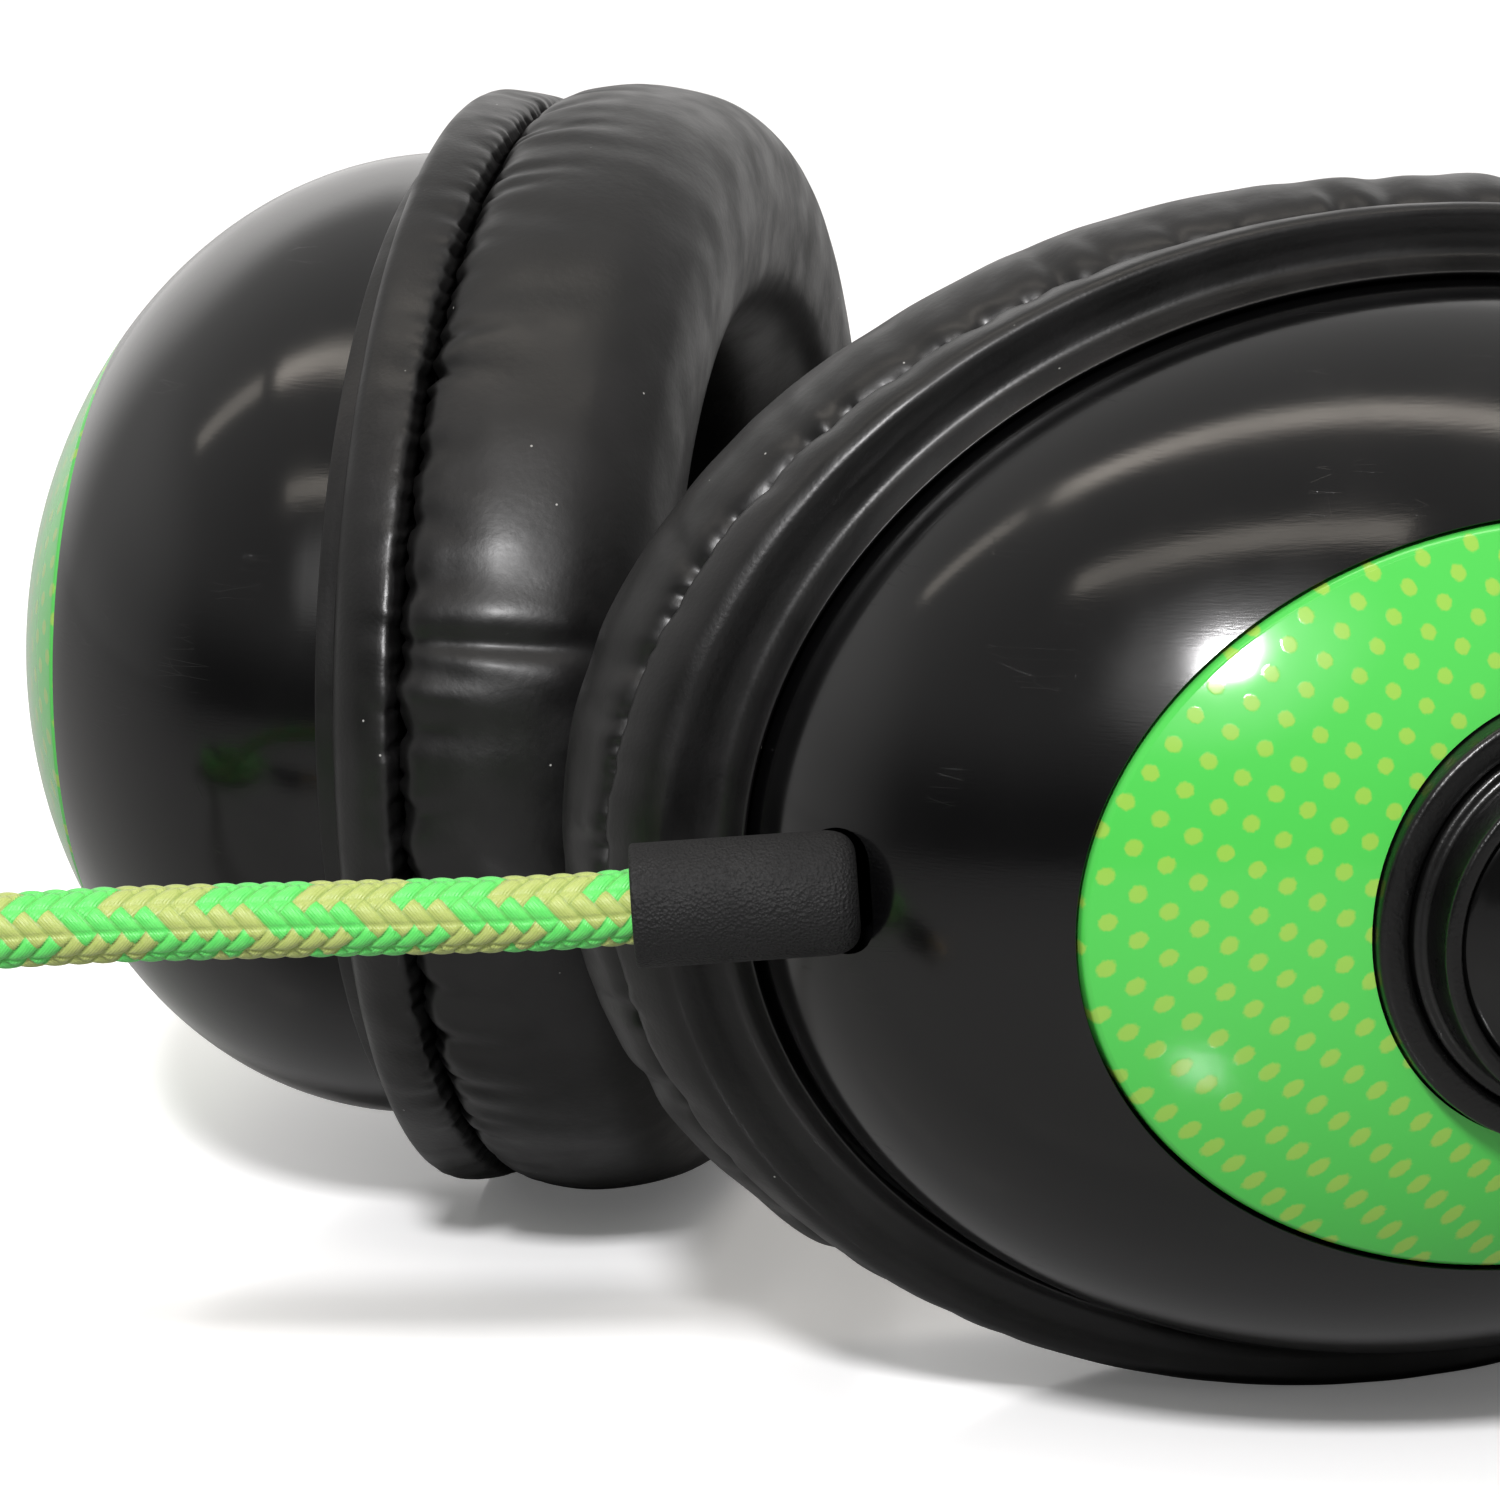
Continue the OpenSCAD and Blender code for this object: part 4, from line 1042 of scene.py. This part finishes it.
def make_plug():
    """The plug's ribbed sleeve and its grip, from (radius, height) outlines along the plug."""
    sleeve = [(2.55, 0.0), (2.85, 0.1)]
    for k in range(6):  # ribs that let the sleeve bend
        h, high, low = 0.6 + 1.8 * k, 2.95 + 0.12 * k, 2.5 + 0.12 * k
        sleeve += [(high, h), (high, h + 1.1), (low, h + 1.2), (low, h + 1.7)]
    sleeve += [(3.65, 11.5), (3.65, 11.99)]
    grip = [(3.85, 12.0), (PLUG_R, 13.2), (PLUG_R, 15.5)]
    for k in range(5):  # grooves for the fingers
        h, high, low = 16.2 + 2.1 * k, PLUG_R - 0.02, PLUG_R - 0.35
        grip += [(high, h), (low, h + 0.3), (low, h + 1.0), (high, h + 1.3)]
    grip += [(PLUG_R, 28.5), (PLUG_R, 30.2), (3.6, 31.45)]
    pieces = []
    for name, outline, n, slot, node in (
            ("plug_sleeve", softened(sleeve, 0.12, steps=3), 48, "strain_relief_rubber", "plug_relief"),
            ("plug_grip", softened(grip, 0.2, steps=4), 72, "black_plastic", "plug_body")):
        points, faces = turned(outline, n)
        shape = PLUG_AT + points @ PLUG_AXES, faces
        pieces.append(piece(name, shape, slot, "left_cup", stands_for=[node], sharp=50))
    return pieces


STRAP_W, STRAP_T, STRAP_TURN = 11.6, 0.8, math.radians(200)


def make_tie():
    """A woven strap round the coil, closed on itself, with its free end lying on top."""
    half_w, half_h = COIL_ROWS * CORD_D / 2 + 0.5, CORD_D + 0.45
    loop = soft_rectangle(-half_w, half_w, -half_h, half_h, 3.0, 8)
    section = soft_rectangle(0, STRAP_T, -STRAP_W / 2, STRAP_W / 2, 0.25, 4)
    middle = COIL_LIFT + CORD_D
    rings = []
    for r, z in loop:
        out_r, out_z = np.array([r, z]) / math.hypot(r, z)
        t = section[:, 0] - STRAP_T / 2
        rings.append(np.stack([COIL_R + r + out_r * t, section[:, 1], middle + z + out_z * t], 1))
    tab = soft_rectangle(-5.5, 4.5, 0.0, 0.75, 0.3, 4)
    flap = [np.stack([COIL_R + tab[:, 0], np.full(len(tab), w), middle + half_h + 0.25 + tab[:, 1]], 1)
            for w in np.linspace(-5.4, 5.4, 8)]
    points, faces = joined(loft(rings, closed=True), loft(flap, caps=True))
    cos, sin = math.cos(STRAP_TURN), math.sin(STRAP_TURN)
    points = points @ np.array([(cos, sin, 0), (-sin, cos, 0), (0, 0, 1)]) + np.array([*COIL_AT, 0])
    points[:, 2] = np.maximum(points[:, 2], 0.05)
    return piece("coil_strap", (points, faces), "strap_fabric", "left_cup", stands_for=["cord_tie"],
                 sharp=50)


make_domes()
make_panels()
make_rings()
make_cushions()
make_ear_cloths()
make_gland()
make_pivot()
make_boom()
make_headband()
plug_sleeve, plug_grip = make_plug()
coil_strap = make_tie()

cable, cable_path, cable_exit = make_cord()

# ---------------- looks of the CAD parts that show as they are

for part in frame["record"]["subparts"]:
    if part["node"] in frame["nodes"]:
        materials = frame["nodes"][part["node"]].data.materials
        materials.clear()
        materials.append(MATERIALS[part["material_slot"]])

# ---------------- floor, lights and surroundings

TABLE_SEEN, TABLE_LIT = 1.5, 0.40  # how pale the table is to the camera, overexposed, and to the object
TABLE_HALF, TABLE_Z = 30, -0.0002


def make_table():
    """A pale glossy studio table."""
    m = Look("table_top", (0.8, 0.8, 0.8), 0.12, IOR=1.3, Emission_Color=(1, 1, 1, 1))
    seen = Term(m, m.node("LightPath").outputs["Is Camera Ray"])
    m.colour(m.mix(seen, (TABLE_LIT,) * 3, (TABLE_SEEN,) * 3))
    m.feed(m.shader.inputs["Emission Strength"], seen * 0.1)
    corners = [(x * TABLE_HALF, y * TABLE_HALF, 0) for x, y in ((-1, -1), (1, -1), (1, 1), (-1, 1))]
    mesh = bpy.data.meshes.new("table")
    mesh.from_pydata(corners, [], [(0, 1, 2, 3)])
    mesh.materials.append(m.material)
    placed("table", mesh, Matrix.Translation((0, 0, TABLE_Z)))


def strip_light(name, start, end, width, radiance, colour):
    """A strip light between two points, turned so that it faces the object."""
    start, end = Vector(start), Vector(end)
    middle = (start + end) / 2
    x = (end - start).normalized()
    z = middle - Vector((0, 0, 0.04))
    z = (z - x * z.dot(x)).normalized()
    light = bpy.data.lights.new(name, "AREA")
    light.shape, light.size, light.size_y = "RECTANGLE", (end - start).length, width
    light.energy = radiance * math.pi * light.size * width
    light.color = colour
    placed(name, light, frame_matrix(x, z.cross(x), z, middle))


def surroundings():
    """A studio: bright behind the object, soft grey at its sides and dim behind the camera, with a glow
    round the lamp and a pale wall to the left."""
    world = bpy.data.worlds.new("studio")
    bpy.context.scene.world = world
    world.use_nodes = True
    g = Graph(world.node_tree)
    background = world.node_tree.nodes["Background"]
    x, y, z = g.split(Term(g, g.node("TexCoord").outputs["Generated"]))
    away = x * -0.69 + y * 0.72
    screen = g.remap(away, 0.66, 0.92) * g.remap(z, 0.4, 0.62, 1.0, 0.0) * 0.75
    side = g.remap(away, -0.6, 0.25, 0.07, 0.24)
    overhead = g.remap(z, 0.12, 0.5, 0.0, 0.24)
    glow = g.remap(x * 0.42 + y * -0.65 + z * 0.63, 0.93, 1.0) * 1.6
    wall = g.remap(x * -0.9 - y * 0.42, 0.75, 1.0, 0.0, 0.25)
    g.feed(background.inputs["Strength"], screen + side + (overhead + (glow + wall)))
    background.inputs["Color"].default_value = (1.0, 0.985, 0.97, 1.0)


NEUTRAL, WARM = (1.0, 0.99, 1.0), (1.0, 0.92, 0.82)

make_table()
strip_light("lamp", (0.51, -0.94, 0.86), (0.62, -0.861, 0.86), 0.17, 185, NEUTRAL)
strip_light("batten_near", (-0.18, -0.73, 1.0), (0.50, -0.25, 1.0), 0.1, 2.8, WARM)
strip_light("batten_far", (-0.59, -0.26, 1.0), (0.30, 0.26, 1.0), 0.09, 2.8, WARM)
strip_light("batten_far_halo", (-0.57, -0.25, 1.002), (0.30, 0.26, 1.002), 0.17, 1.1, WARM)
strip_light("batten_side", (-1.15, -0.585, 1.0), (-0.66, -0.30, 1.0), 0.1, 1.8, WARM)
surroundings()
bpy.context.scene.view_settings.view_transform = "Standard"
